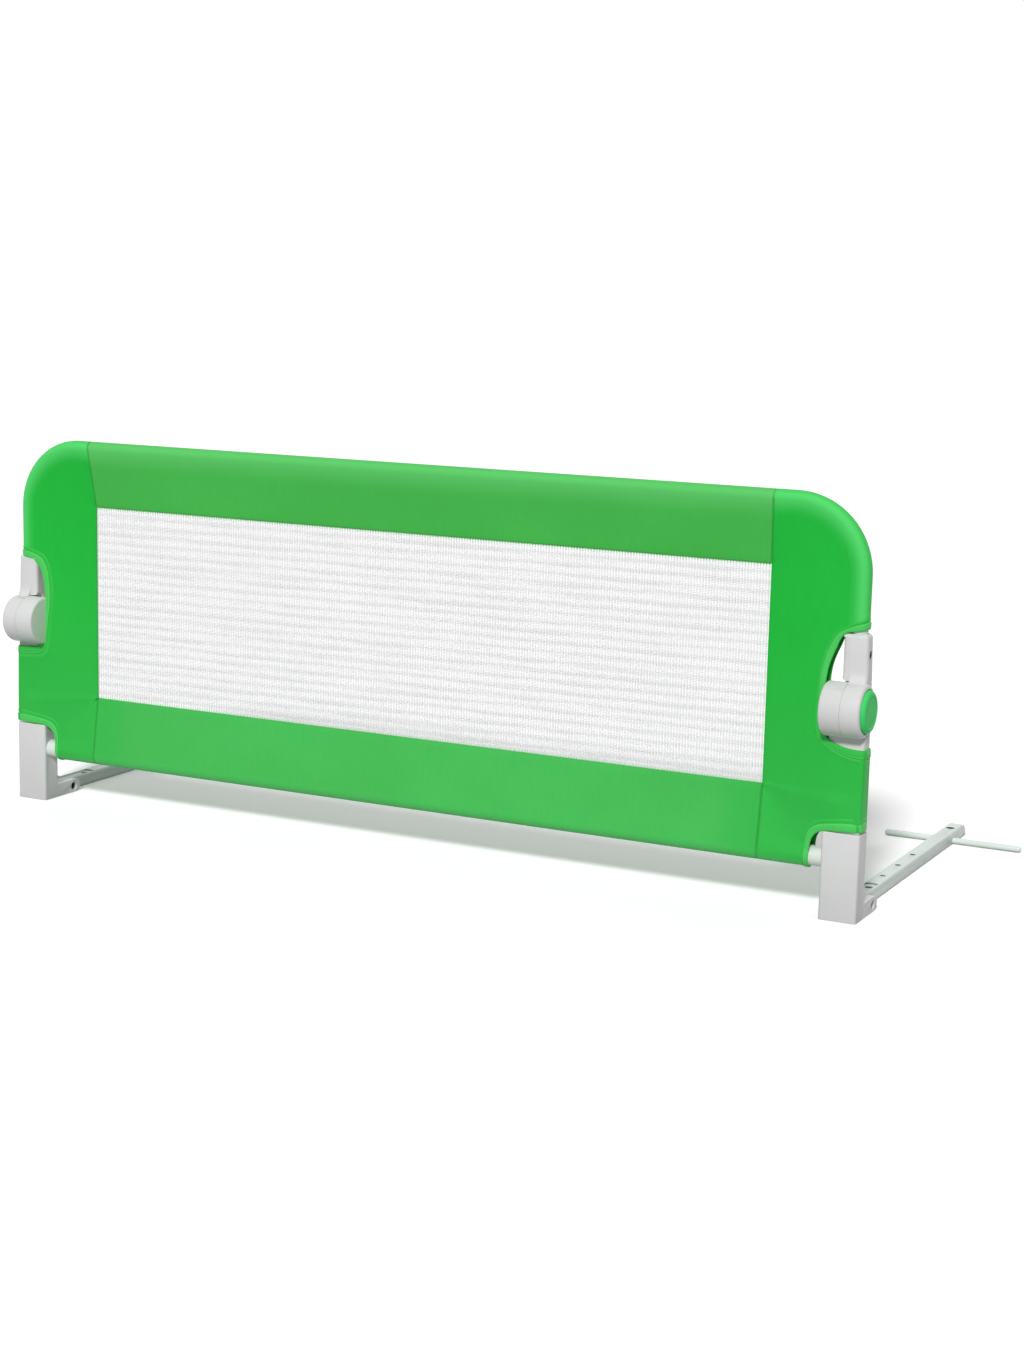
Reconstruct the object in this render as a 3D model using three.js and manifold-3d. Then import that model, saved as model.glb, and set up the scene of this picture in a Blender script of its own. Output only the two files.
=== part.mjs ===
// A folding guard rail for the side of a bed, in millimetres, with +Z up.
// X runs along the rail, -Y is the room side and +Y the side of the bed.
// Two moulded feet carry the hinge posts; an upper frame folds down over the posts about
// the two barrel hinges, and two arms under the mattress fold up behind the rail.
import * as THREE from "three";
import { mergeVertices } from "three/addons/utils/BufferGeometryUtils.js";
import Module from "manifold-3d";

const wasm = await Module();
wasm.setup();

// Overall
const railHalf = 503.5; // outer face of a foot from the middle of the rail
const hingeHeight = 208; // fold axis above the floor
const upperHeight = 204.2; // top of the cover above the fold axis
const hingeForward = 11.2; // fold axis in front of the middle plane of the tubes
const clearance = 0.3; // between pieces that touch
const overrun = 2; // how far a cut runs past the face it opens
const weld = 1e-4; // vertices closer than this are one

// Feet
const footWidth = 38.5;
const footFront = 12.5; // ahead of the middle plane
const footBack = 12; // behind it
const footHeight = 88; // with the neck that the cover hides
const footBody = 79; // up to the neck
const footRound = 3;
const earThickness = 10.7;
const earHeight = 15;
const pivotBack = 40; // arm pivot behind the middle plane
const pivotHeight = 7.2;
const earReach = 12; // end of an ear behind the pivot
const rivetRadius = 3;
const rivetHeadRadius = 4.6;
const rivetHeadDepth = 2.4;
const tubeSocketDepth = 22; // how far the bottom tube goes into a foot

// Hinge posts
const postInset = 0.9; // step from a foot's sides and front in to the post
const postFrontHigh = 8.9; // front of the post at the fold axis
const postBack = 8;
const postRound = 2.5;
const tenonDepth = 16; // how far a post goes down into its foot
const tenonInset = 4.5; // from the post's faces in to the tenon
const postScrewDrop = 4.6; // below the top of the foot's neck

// Hinge barrels
const barrelInset = 1.5; // outer end in from the foot's outer face
const barrelRadius = 26.3;
const barrelRound = 2.2;
const outerHalf = 16.8; // length of the half that turns
const innerHalf = 21.7; // length of the half on the post
const partingGap = 0.4;
const barrelRunning = 1; // between a barrel half and what turns past it
const endWall = 3.7;
const gearRoot = 15.2;
const gearTip = 17.2;
const gearTeeth = 16;
const gearLength = 8;
const gearEngaged = 3.2; // how far the gear stands in the outer half
const gearBore = 2.95;
const boltRadius = 2.5;
const boltHeadRadius = 5.5;
const boltHeadLength = 3;
const bossRadius = 6;
const bossLength = 8;
const webThickness = 4.6;
const springRadius = 8.4; // to the middle of its wire
const springWire = 0.75;
const springTurns = 4;

// Push buttons
const buttonRadius = 20.3;
const buttonPlay = 0.4;
const buttonProud = 6.8; // crown above the barrel's outer end
const buttonDome = 3;
const buttonWall = 2;
const buttonTravel = 3.5;
const legRadius = 10; // to the middle of a leg
const legWidth = 5;
const legCount = 3;

// Hinge arms, the sockets of the upper frame
const armInset = 4; // outer face in from the foot's outer face
const armWidth = 22;
const armDepthHalf = 8.8;
const armTop = 73; // above the fold axis
const armRound = 3;
const armFillet = 11;
const socketDepth = 38;
const socketScrewHeight = 52.5; // above the fold axis
const screwRadius = 1.8;
const screwHeadRadius = 3.6;
const screwHeadDepth = 1.1;
const socketScrewHead = 0.7; // its head is thinner, in the wall of the socket

// Upper tubes
const tubeRadius = 7.5;
const tubeWall = 1;
const socketWall = 1.4; // between the upright tube's socket and the arm's outer face
const tubeBend = 68; // to the middle line of the tube
const cornerReach = 253.5; // from a foot's outer face in to the corner tube's end
const swageLength = 30;
const snapRadius = 2.5;
const snapBack = 14; // snap pin from the joint

// Bottom tube
const bottomTubeRadius = 10;
const bottomTubeWall = 1.2;
const bottomTubeHeight = 59.3;
const joinerHalf = 40;

// Arms under the mattress
const channelWidth = 16;
const channelLow = 0.8; // lower edges above the floor
const channelHigh = 13.8;
const channelWall = 1.2;
const channelEnd = 402; // far end behind the middle plane
const channelNose = 13; // radius of the far end, seen from the side
const channelNearRadius = 6.2;
const channelOpenEnd = 96; // the top is cut back to here, over the bracket
const bracketEnd = 142;
const bigHoleRadius = 4.4;
const smallHoleRadius = 2.4;
const nearHole = 84.5;
const firstSmallHole = 129;
const smallHolePitch = 50.4;
const smallHoles = 3;
const farHoleInset = 34; // from the channel's far end
const rodRadius = 3.4;
const rodHalf = 76.8;
const rodOffset = 7; // the rod's middle is this much further out than the arm
const rodInset = 48.6; // from the channel's far end

// Cover and mesh
const clothThickness = 0.9;
const meshThickness = 1;
const meshTuck = 8; // how far the mesh goes in between the two layers of cloth
const endPanel = 105.1; // from the foot's outer face in to the window
const topBand = 72.5; // from the top of the cover down to the window
const bottomBand = 65.1; // from the bottom tube's middle up to the window
const seamGap = 0.6; // between two cloths at a seam or at the fold
const seamSlant = 6.5; // the upper seams lean outwards by this much at the top
const hingeCutRise = 5.5; // above the hinge arm, at the rail's end
const hingeCutNear = 1; // above the hinge arm's inner top corner
const hingeCutGap = 0.8; // inwards from the barrel's inner end
const hingeCutSide = 44; // above the axis, where the corner ends
const hingeCutBelow = 4.7; // below the barrel
const hingeCutDrop = 9.7; // below the barrel, at the rail's end
const footCutIn = 53; // inwards from a foot's outer face
const footCutAbove = 3; // above the foot's body
const footCutRise = 2.5; // above the foot's neck, at the rail's end
const footCutRound = 7;
const netBar = 3;
const netColumns = 19;
const netRowsUpper = 3;
const netRowsLower = 2;

// Counts of facets
const barrelFacets = 32;
const tubeFacets = 12;
const pinFacets = 12;
const bendSteps = 10;
const curlSteps = 9;
const wireSides = 5;
const arcFacets = 6;

// Worked out from the sizes above
const footInner = railHalf - footWidth;
const footMiddle = railHalf - footWidth / 2;
const earEnd = pivotBack + earReach;
const postOuter = railHalf - postInset;
const postInner = footInner + postInset;
const postFrontLow = footFront - postInset;
const postScrewHeight = footHeight - postScrewDrop;
const barrelOuter = railHalf - barrelInset;
const parting = barrelOuter - outerHalf;
const halfGap = partingGap / 2;
const armOuter = railHalf - armInset;
const armInner = armOuter - armWidth;
const tubeLine = armOuter - socketWall - clearance - tubeRadius;
const coverRadius = tubeRadius + clearance + clothThickness;
const railTop = hingeHeight + upperHeight;
const topTubeHeight = railTop - coverRadius;
const topTubeHalf = railHalf - cornerReach;
const bendX = tubeLine - tubeBend;
const bendZ = topTubeHeight - tubeBend;
const windowHalf = railHalf - endPanel;
const windowLow = bottomTubeHeight + bottomBand;
const windowHigh = railTop - topBand;
const seamHalf = meshThickness / 2 + clearance + clothThickness;
const bottomCoverRadius = bottomTubeRadius + clearance + clothThickness;
const hingeCutLine = parting - innerHalf - hingeCutGap;
const footCutHigh = footBody + footCutAbove;
const farHole = channelEnd - farHoleInset;
const rodBack = channelEnd - rodInset;
const quarter = Math.PI / 2;

// Colours and finishes
const whitePlastic = new THREE.MeshStandardMaterial({ color: 0xe4e4e2, roughness: 0.45 });
const whitePaint = new THREE.MeshStandardMaterial({
  color: 0xe9ebe9,
  roughness: 0.35,
  metalness: 0.1,
});
const zinc = new THREE.MeshStandardMaterial({ color: 0xa9abae, roughness: 0.35, metalness: 0.9 });
const greenPlastic = new THREE.MeshStandardMaterial({ color: 0x3da35c, roughness: 0.4 });
const greenCloth = new THREE.MeshStandardMaterial({ color: 0x2db446, roughness: 0.85 });
const greenTop = new THREE.MeshStandardMaterial({ color: 0x46af4b, roughness: 0.85 });
const whiteMesh = new THREE.MeshStandardMaterial({ color: 0xf0f0ee, roughness: 0.8 });

// A closed solid from a geometry: only places are kept, and collapsed facets are dropped.
function solidOf(geometry) {
  const places = new THREE.BufferGeometry();
  places.setAttribute("position", geometry.getAttribute("position"));
  places.setIndex(geometry.index);
  const merged = mergeVertices(places, weld);
  const corners = merged.index.array;
  const kept = [];
  for (let i = 0; i < corners.length; i += 3) {
    const [a, b, c] = corners.slice(i, i + 3);
    if (a !== b && b !== c && c !== a) kept.push(a, b, c);
  }
  const build = (triangles) =>
    new wasm.Manifold(
      new wasm.Mesh({
        numProp: 3,
        vertProperties: merged.attributes.position.array,
        triVerts: new Uint32Array(triangles),
      }),
    );
  const solid = build(kept);
  return solid.volume() < 0 ? build(kept.toReversed()) : solid;
}

function geometryOf(solid) {
  const mesh = solid.getMesh();
  const geometry = new THREE.BufferGeometry();
  geometry.setAttribute("position", new THREE.BufferAttribute(mesh.vertProperties, 3));
  geometry.setIndex(new THREE.BufferAttribute(mesh.triVerts, 1));
  geometry.computeVertexNormals();
  return geometry;
}

// The same solid somewhere else.
const moved = (solid, x, y, z) => solidOf(geometryOf(solid).translate(x, y, z));
const mirrored = (solid) => solidOf(geometryOf(solid).scale(-1, 1, 1));
const joined = (...solids) => solids.reduce((whole, next) => whole.add(next));
const cutFrom = (body, ...tools) => tools.reduce((left, tool) => left.subtract(tool), body);

function piece(name, shape, material) {
  const geometry = shape.isBufferGeometry ? shape : geometryOf(shape);
  const mesh = new THREE.Mesh(geometry, material);
  mesh.name = name;
  return mesh;
}

// Prisms: an outline drawn in two of the part's axes, run along the third.
const axisX = new THREE.Vector3(1, 0, 0);
const axisY = new THREE.Vector3(0, 1, 0);
const axisZ = new THREE.Vector3(0, 0, 1);
const outlineYZ = new THREE.Matrix4().makeBasis(axisY, axisZ, axisX);
const outlineXZ = new THREE.Matrix4().makeBasis(axisX, axisZ, axisY.clone().negate());

function run(outline, length, facets) {
  return new THREE.ExtrudeGeometry(outline, {
    depth: length,
    bevelEnabled: false,
    curveSegments: facets,
  });
}

function alongX(outline, from, to, facets = arcFacets) {
  return solidOf(run(outline, to - from, facets).applyMatrix4(outlineYZ).translate(from, 0, 0));
}

function alongY(outline, from, to, facets = arcFacets) {
  return solidOf(run(outline, to - from, facets).applyMatrix4(outlineXZ).translate(0, to, 0));
}

function alongZ(outline, from, to, facets = arcFacets) {
  return solidOf(run(outline, to - from, facets).translate(0, 0, from));
}

function box(x0, x1, y0, y1, z0, z1) {
  const block = new THREE.BoxGeometry(x1 - x0, y1 - y0, z1 - z0);
  return solidOf(block.translate((x0 + x1) / 2, (y0 + y1) / 2, (z0 + z1) / 2));
}

// A straight round bar from one point to another.
function bar(from, to, radius, facets = pinFacets) {
  const way = to.clone().sub(from);
  const rod = new THREE.CylinderGeometry(radius, radius, way.length(), facets);
  const turn = new THREE.Quaternion().setFromUnitVectors(axisY, way.clone().normalize());
  const middle = from.clone().add(to).divideScalar(2);
  return solidOf(rod.applyQuaternion(turn).translate(middle.x, middle.y, middle.z));
}

const at = (x, y, z) => new THREE.Vector3(x, y, z);

// A turned solid about X: the profile lists [radius, x] and starts and ends on the axis.
function turned(profile, facets = barrelFacets) {
  const points = profile.map(([radius, x]) => new THREE.Vector2(radius, x));
  return solidOf(new THREE.LatheGeometry(points, facets).rotateZ(-quarter));
}

// Points of a quarter arc from one direction to the next, for a profile or an outline.
function arc(centreA, centreB, radius, from, to, facets = arcFacets) {
  const points = [];
  for (let i = 0; i <= facets; i++) {
    const angle = from + ((to - from) * i) / facets;
    points.push([centreA + radius * Math.cos(angle), centreB + radius * Math.sin(angle)]);
  }
  return points;
}

function outlineFrom(points) {
  return new THREE.Shape(points.map(([a, b]) => new THREE.Vector2(a, b)));
}

function roundedPoints(a0, a1, b0, b1, radius, facets = 3) {
  return [
    ...arc(a0 + radius, b0 + radius, radius, 2 * quarter, 3 * quarter, facets),
    ...arc(a1 - radius, b0 + radius, radius, 3 * quarter, 4 * quarter, facets),
    ...arc(a1 - radius, b1 - radius, radius, 0, quarter, facets),
    ...arc(a0 + radius, b1 - radius, radius, quarter, 2 * quarter, facets),
  ];
}

const roundedOutline = (...sizes) => outlineFrom(roundedPoints(...sizes));

// A tube along a path. The path's own steps are kept, so a straight leg takes one step.
function tubeAlong(path, steps, radius, wall, facets = tubeFacets) {
  const ring = new THREE.Shape().absarc(0, 0, radius, 0, 4 * quarter);
  if (wall) ring.holes.push(new THREE.Path().absarc(0, 0, radius - wall, 0, 4 * quarter));
  return solidOf(
    new THREE.ExtrudeGeometry(ring, { steps, curveSegments: facets, extrudePath: path }),
  );
}

// Two straight legs with a round bend between them: one step a leg, the rest in the bend.
class BentPath extends THREE.Curve {
  constructor(from, corner, to, radius, steps) {
    super();
    this.from = from;
    this.to = to;
    this.radius = radius;
    this.steps = steps;
    this.back = from.clone().sub(corner).normalize();
    this.on = to.clone().sub(corner).normalize();
    this.centre = corner.clone().addScaledVector(this.back, radius);
    this.centre.addScaledVector(this.on, radius);
  }

  bendPoint(angle) {
    const point = this.centre.clone().addScaledVector(this.on, -this.radius * Math.cos(angle));
    return point.addScaledVector(this.back, -this.radius * Math.sin(angle));
  }

  getPoint(t) {
    const stage = t * (this.steps + 2) - 1;
    if (stage <= 0) return this.from.clone().lerp(this.bendPoint(0), stage + 1);
    if (stage >= this.steps) {
      return this.bendPoint(quarter).lerp(this.to, stage - this.steps);
    }
    return this.bendPoint((quarter * stage) / this.steps);
  }

  getUtoTmapping(u) {
    return u;
  }
}

// A pin with a flat round head, and the stepped hole that takes it, along any axis.
function headedPin(head, way, length, radius, headRadius, headLength) {
  const seat = head.clone().addScaledVector(way, headLength);
  const end = head.clone().addScaledVector(way, length);
  return joined(bar(head, seat, headRadius), bar(seat, end, radius));
}

function headedHole(face, way, depth, radius, headRadius, headDepth) {
  const mouth = face.clone().addScaledVector(way, -overrun);
  const seat = face.clone().addScaledVector(way, headDepth + clearance);
  const end = face.clone().addScaledVector(way, depth);
  return joined(
    bar(mouth, seat, headRadius + clearance),
    bar(mouth, end, radius + clearance),
  );
}

// The foot: a moulded block with a neck, two ears for the arm and sockets for tube and post.
function makeFoot() {
  const inner = -footWidth / 2;
  const outer = footWidth / 2;
  const body = alongZ(
    roundedOutline(inner, outer, -footFront, footBack, footRound),
    0,
    footBody,
  );
  const neck = alongZ(
    roundedOutline(inner + postInset, outer - postInset, -postFrontLow, postBack, postRound),
    footBody - overrun,
    footHeight,
  );
  const ear = outlineFrom([
    [footBack - footRound, 0],
    ...arc(earEnd - earHeight / 2, earHeight / 2, earHeight / 2, -quarter, quarter, 8),
    [footBack - footRound, earHeight],
  ]);
  const ears = joined(
    alongX(ear, outer - earThickness, outer),
    alongX(ear, inner, inner + earThickness),
  );
  const pivot = at(outer, pivotBack, pivotHeight);
  const across = axisX.clone().negate();
  const farPivot = at(inner, pivotBack, pivotHeight);
  const tubeBore = bar(
    at(inner - overrun, 0, bottomTubeHeight),
    at(inner + tubeSocketDepth, 0, bottomTubeHeight),
    bottomTubeRadius + clearance,
    2 * tubeFacets,
  );
  const tenonHole = tenonBlock(clearance);
  return cutFrom(
    joined(body, neck, ears),
    headedHole(pivot, across, footWidth, rivetRadius, rivetHeadRadius, rivetHeadDepth),
    headedHole(farPivot, axisX, footWidth, rivetRadius, rivetHeadRadius, rivetHeadDepth),
    tubeBore,
    tenonHole,
    tubeScrewHole(),
    postScrewHole(),
  );
}

const backwards = axisY.clone().negate();

function tenonBlock(grow) {
  const half = footWidth / 2 - postInset - tenonInset + grow;
  return box(
    -half,
    half,
    -postFrontLow + tenonInset - grow,
    postBack - tenonInset + grow,
    footHeight - tenonDepth - grow,
    footHeight + overrun,
  );
}

const tubeScrewFace = () => at(-footWidth / 2 + tubeSocketDepth / 2, footBack, bottomTubeHeight);
const postScrewFace = () => at(0, postBack, postScrewHeight);
const tubeScrewLength = footBack - bottomTubeRadius + bottomTubeWall + screwHeadDepth;
const postScrewLength = postBack - postBack / 4;

function tubeScrewHole() {
  return headedHole(
    tubeScrewFace(),
    backwards,
    footBack,
    screwRadius,
    screwHeadRadius,
    screwHeadDepth,
  );
}

function postScrewHole() {
  return headedHole(
    postScrewFace(),
    backwards,
    postBack,
    screwRadius,
    screwHeadRadius,
    screwHeadDepth,
  );
}

// The gear's outline. Grown by a clearance it is also the toothed bore that the gear slides in.
function gearOutline(grow) {
  const root = gearRoot + grow;
  const tip = gearTip + grow;
  const pitch = (4 * quarter) / gearTeeth;
  const rootHalfShare = 0.32;
  const tipHalfShare = 0.2;
  const points = [];
  for (let i = 0; i < gearTeeth; i++) {
    const middle = i * pitch;
    const rootHalf = pitch * rootHalfShare + grow / root;
    const tipHalf = pitch * tipHalfShare + grow / tip;
    const sides = [
      [root, -rootHalf],
      [tip, -tipHalf],
      [tip, tipHalf],
      [root, rootHalf],
    ];
    for (const [radius, angle] of sides) {
      points.push([radius * Math.cos(middle + angle), radius * Math.sin(middle + angle)]);
    }
  }
  return outlineFrom(points);
}

// The post: inner half of the barrel with its toothed bore, on a tapered moulded upright.
// Its own frame has the fold axis along X and the parting face at x = 0.
function makeHingePost() {
  const end = -innerHalf;
  const barrel = turned([
    [0, end],
    ...arc(barrelRadius - barrelRound, end + barrelRound, barrelRound, -quarter, 0, 3),
    [barrelRadius, -halfGap],
    [0, -halfGap],
  ]);
  const low = footHeight + clearance - hingeHeight;
  const frontLow = hingeForward - postFrontLow;
  const frontHigh = hingeForward - postFrontHigh;
  const back = hingeForward + postBack;
  const inner = postInner - parting;
  const outer = postOuter - parting;
  const upright = loft(
    roundedPoints(inner, outer, frontLow, back, postRound),
    low,
    roundedPoints(inner, outer, frontHigh, back, postRound),
    0,
  );
  const sweep = bar(
    at(-halfGap, 0, 0),
    at(outer + overrun, 0, 0),
    barrelRadius + barrelRunning,
    barrelFacets,
  );
  const fromFoot = [footMiddle - parting, hingeForward, -hingeHeight];
  const tenonRoom = box(inner, outer, frontLow, back, low - tenonDepth, low + overrun);
  const tenon = moved(tenonBlock(0), ...fromFoot).intersect(tenonRoom);
  const boreEnd = end + endWall;
  const bore = alongX(gearOutline(clearance), boreEnd, overrun);
  const boss = bar(at(boreEnd - overrun / 2, 0, 0), at(boreEnd + bossLength, 0, 0), bossRadius, 24);
  const boltHole = bar(
    at(end + endWall / 2, 0, 0),
    at(0, 0, 0),
    boltRadius + clearance,
    2 * pinFacets,
  );
  const outside = cutFrom(joined(upright, tenon), sweep);
  const screw = moved(postScrewHole(), ...fromFoot);
  return cutFrom(joined(cutFrom(joined(barrel, outside), bore), boss), boltHole, screw);
}

// The arm of the upper frame: outer half of the barrel, button pocket and tube socket.
function makeHingeArm() {
  const web = gearEngaged + 2 * clearance;
  const pocket = web + webThickness;
  const barrel = turned([
    [0, halfGap],
    [barrelRadius, halfGap],
    ...arc(barrelRadius - barrelRound, outerHalf - barrelRound, barrelRound, 0, quarter, 3),
    [0, outerHalf],
  ]);
  const inner = armInner - parting;
  const outer = inner + armWidth;
  const front = hingeForward - armDepthHalf;
  const back = hingeForward + armDepthHalf;
  const plan = roundedOutline(inner, outer, front, back, armRound);
  const upright = alongZ(plan, -armRound, armTop);
  const crown = alongX(
    outlineFrom([
      [front, -armRound],
      [back, -armRound],
      ...arc(back - armRound, armTop - armRound, armRound, 0, quarter, 3),
      ...arc(front + armRound, armTop - armRound, armRound, quarter, 2 * quarter, 3),
    ]),
    inner,
    outer,
  );
  const flank = alongY(
    outlineFrom([
      [inner, -armRound],
      [outer, -armRound],
      ...arc(outer - armRound, armTop - armRound, armRound, 0, quarter, 3),
      ...arc(inner + armRound, armTop - armRound, armRound, quarter, 2 * quarter, 3),
    ]),
    front - overrun,
    back + overrun,
  );
  const sweep = bar(
    at(inner - overrun, 0, 0),
    at(halfGap, 0, 0),
    barrelRadius + barrelRunning,
    barrelFacets,
  );
  const stem = cutFrom(upright.intersect(crown).intersect(flank), sweep);
  const gearRoom = bar(
    at(-overrun, 0, 0),
    at(web, 0, 0),
    gearTip + 2 * clearance,
    barrelFacets,
  );
  const buttonRoom = bar(
    at(pocket, 0, 0),
    at(outerHalf + overrun, 0, 0),
    buttonRadius + buttonPlay,
    barrelFacets,
  );
  const boltRoom = bar(at(-overrun, 0, 0), at(outerHalf, 0, 0), boltRadius + clearance, 24);
  const body = joined(barrel, stem, armFillets(outer, front, back));
  const socketX = tubeLine - parting;
  const socket = bar(
    at(socketX, hingeForward, armTop - socketDepth),
    at(socketX, hingeForward, armTop + overrun),
    tubeRadius + clearance,
    2 * tubeFacets,
  );
  return cutFrom(
    body,
    gearRoom,
    buttonRoom,
    boltRoom,
    socket,
    socketScrewHole(),
    ...legs(-overrun, outerHalf, clearance),
  );
}

// Hollow curves where the arm leaves the barrel, front and back, on the half that turns.
function armFillets(outer, front, back) {
  const foot = barrelRadius - clearance;
  const frontFoot = Math.sqrt(foot ** 2 - (front - armFillet) ** 2);
  const backFoot = Math.sqrt(foot ** 2 - (back + armRound) ** 2);
  const top = barrelRadius + armFillet;
  const hollow = new THREE.Shape();
  hollow.moveTo(front + armRound, foot / 2);
  hollow.lineTo(front + armRound, top);
  hollow.lineTo(front + clearance, top);
  hollow.quadraticCurveTo(front, barrelRadius, front - armFillet, frontFoot);
  hollow.lineTo(front - armFillet, foot / 2);
  hollow.closePath();
  const heel = new THREE.Shape();
  heel.moveTo(back - armRound, backFoot / 2);
  heel.lineTo(back + armRound, backFoot / 2);
  heel.lineTo(back + armRound, backFoot);
  heel.quadraticCurveTo(back, backFoot + armRound, back - clearance, barrelRadius);
  heel.lineTo(back - armRound, barrelRadius);
  heel.closePath();
  const start = halfGap + clearance;
  const end = outer - armRound;
  return joined(alongX(hollow, start, end), alongX(heel, start, end));
}

const socketScrewFace = () =>
  at(armOuter - parting, hingeForward, socketScrewHeight);

function socketScrewHole() {
  const depth = armOuter - tubeLine;
  return headedHole(
    socketScrewFace(),
    axisX.clone().negate(),
    depth,
    screwRadius,
    screwHeadRadius,
    socketScrewHead,
  );
}

// The button's legs, or with a clearance the slots that they slide in.
function legs(from, to, grow) {
  const half = legWidth / 2 + grow;
  const made = [];
  for (let i = 0; i < legCount; i++) {
    const leg = geometryOf(box(from, to, -half, half, legRadius - half, legRadius + half));
    made.push(solidOf(leg.rotateX((4 * quarter * i) / legCount)));
  }
  return made;
}

function makeButton() {
  const crown = outerHalf + buttonProud;
  const rim = crown - buttonDome;
  const low = gearEngaged + 2 * clearance + webThickness + clearance + buttonTravel;
  const inside = buttonRadius - buttonWall;
  const shoulder = buttonRadius - buttonDome;
  const lip = buttonDome / 2;
  const cap = turned([
    [0, crown - buttonWall],
    [inside - buttonDome, rim - buttonWall / 2],
    [inside, rim - buttonWall],
    [inside, low],
    [buttonRadius, low],
    [buttonRadius, rim - lip],
    ...arc(buttonRadius - lip, rim - lip, lip, 0, quarter, 3).slice(1),
    [shoulder - buttonDome, crown - lip / 2],
    [shoulder / 2, crown - lip / 4],
    [0, crown],
  ]);
  const legStart = gearEngaged + clearance;
  return joined(cap, ...legs(legStart, crown - buttonWall, 0));
}

function makeGear() {
  const outer = gearEngaged;
  const blank = alongX(gearOutline(0), outer - gearLength, outer);
  const bore = bar(
    at(outer - gearLength - overrun, 0, 0),
    at(outer + overrun, 0, 0),
    gearBore,
    2 * pinFacets,
  );
  return cutFrom(blank, bore);
}

function makeBolt() {
  const head = at(gearEngaged + 2 * clearance + webThickness + clearance + boltHeadLength, 0, 0);
  const length = head.x + innerHalf - endWall / 2 - clearance;
  const way = axisX.clone().negate();
  return headedPin(head, way, length, boltRadius, boltHeadRadius, boltHeadLength);
}

// The return spring, pressed between the barrel's end wall and the gear.
class SpringPath extends THREE.Curve {
  constructor(from, to) {
    super();
    this.from = from;
    this.to = to;
  }

  getPoint(t) {
    const angle = 4 * quarter * springTurns * t;
    const x = this.from + (this.to - this.from) * t;
    return at(x, springRadius * Math.cos(angle), springRadius * Math.sin(angle));
  }
}

function makeSpring() {
  const from = -innerHalf + endWall + springWire + clearance;
  const to = gearEngaged - gearLength - springWire - clearance;
  const wire = outlineFrom(arc(0, 0, springWire, 0, 4 * quarter, wireSides).slice(1));
  const coil = new THREE.ExtrudeGeometry(wire, {
    steps: springTurns * curlSteps,
    extrudePath: new SpringPath(from, to),
  });
  return solidOf(coil);
}

// Tubes of the upper frame. A corner tube stands in the hinge arm's socket.
function makeCornerTube() {
  const low = hingeHeight + armTop - socketDepth + clearance;
  const steps = bendSteps;
  const path = new BentPath(
    at(tubeLine, 0, low),
    at(tubeLine, 0, topTubeHeight),
    at(topTubeHalf + clearance / 2, 0, topTubeHeight),
    tubeBend,
    steps,
  );
  const tube = tubeAlong(path, steps + 2, tubeRadius, tubeWall, tubeFacets / 2);
  const screwWay = bar(
    at(tubeLine, 0, hingeHeight + socketScrewHeight),
    at(railHalf, 0, hingeHeight + socketScrewHeight),
    screwRadius + clearance,
  );
  return cutFrom(tube, screwWay, snapHole());
}

function snapHole() {
  const x = topTubeHalf + snapBack;
  return bar(
    at(x, 0, topTubeHeight),
    at(x, tubeRadius + overrun, topTubeHeight),
    snapRadius + clearance,
  );
}

function makeTopTube() {
  const swageRadius = tubeRadius - tubeWall - clearance;
  const swageBore = swageRadius - tubeWall;
  const bore = tubeRadius - tubeWall;
  const shoulder = topTubeHalf - clearance / 2;
  const end = topTubeHalf + swageLength;
  const neck = shoulder - tubeRadius;
  const profile = [
    [swageBore, -end],
    [swageRadius, -end],
    [swageRadius, -shoulder],
    [tubeRadius, -shoulder],
    [tubeRadius, shoulder],
    [swageRadius, shoulder],
    [swageRadius, end],
    [swageBore, end],
    [swageBore, shoulder],
    [bore, neck],
    [bore, -neck],
    [swageBore, -shoulder],
    [swageBore, -end],
  ];
  const tube = moved(turned(profile, tubeFacets), 0, 0, topTubeHeight);
  return cutFrom(tube, snapHole(), mirrored(snapHole()));
}

function makeSnapPin() {
  const x = topTubeHalf + snapBack;
  const plateTop = tubeRadius / 2 - clearance;
  const foot = at(x, plateTop - tubeWall, topTubeHeight);
  const end = at(x, tubeRadius - 2 * clearance, topTubeHeight);
  const plate = bar(foot, at(x, plateTop, topTubeHeight), snapRadius + tubeWall);
  return joined(plate, bar(foot, end, snapRadius));
}

function makeBottomTube() {
  const end = footInner + tubeSocketDepth - clearance;
  const ring = new THREE.Shape().absarc(0, bottomTubeHeight, bottomTubeRadius, 0, 4 * quarter);
  const bore = bottomTubeRadius - bottomTubeWall;
  ring.holes.push(new THREE.Path().absarc(0, bottomTubeHeight, bore, 0, 4 * quarter));
  const tube = alongX(ring, clearance / 2, end, tubeFacets / 2);
  const hole = bar(
    at(footInner + tubeSocketDepth / 2, 0, bottomTubeHeight),
    at(footInner + tubeSocketDepth / 2, footBack, bottomTubeHeight),
    screwRadius + clearance,
  );
  return cutFrom(tube, hole);
}

function makeJoiner() {
  const radius = bottomTubeRadius - bottomTubeWall - clearance;
  const ring = new THREE.Shape().absarc(0, bottomTubeHeight, radius, 0, 4 * quarter);
  const bore = radius - bottomTubeWall;
  ring.holes.push(new THREE.Path().absarc(0, bottomTubeHeight, bore, 0, 4 * quarter));
  return alongX(ring, -joinerHalf, joinerHalf, tubeFacets / 2);
}

// Side outline of an arm, from round the pivot to the rounded nose. Its own frame is the pivot's.
function armSide(top, low, near, end, nose) {
  return outlineFrom([
    ...arc(0, 0, near, quarter, 3 * quarter, 8),
    [end, low],
    ...(nose ? arc(end - nose, top - nose, nose, 0, quarter, 5) : [[end, top]]),
    [near, top],
  ]);
}

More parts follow.
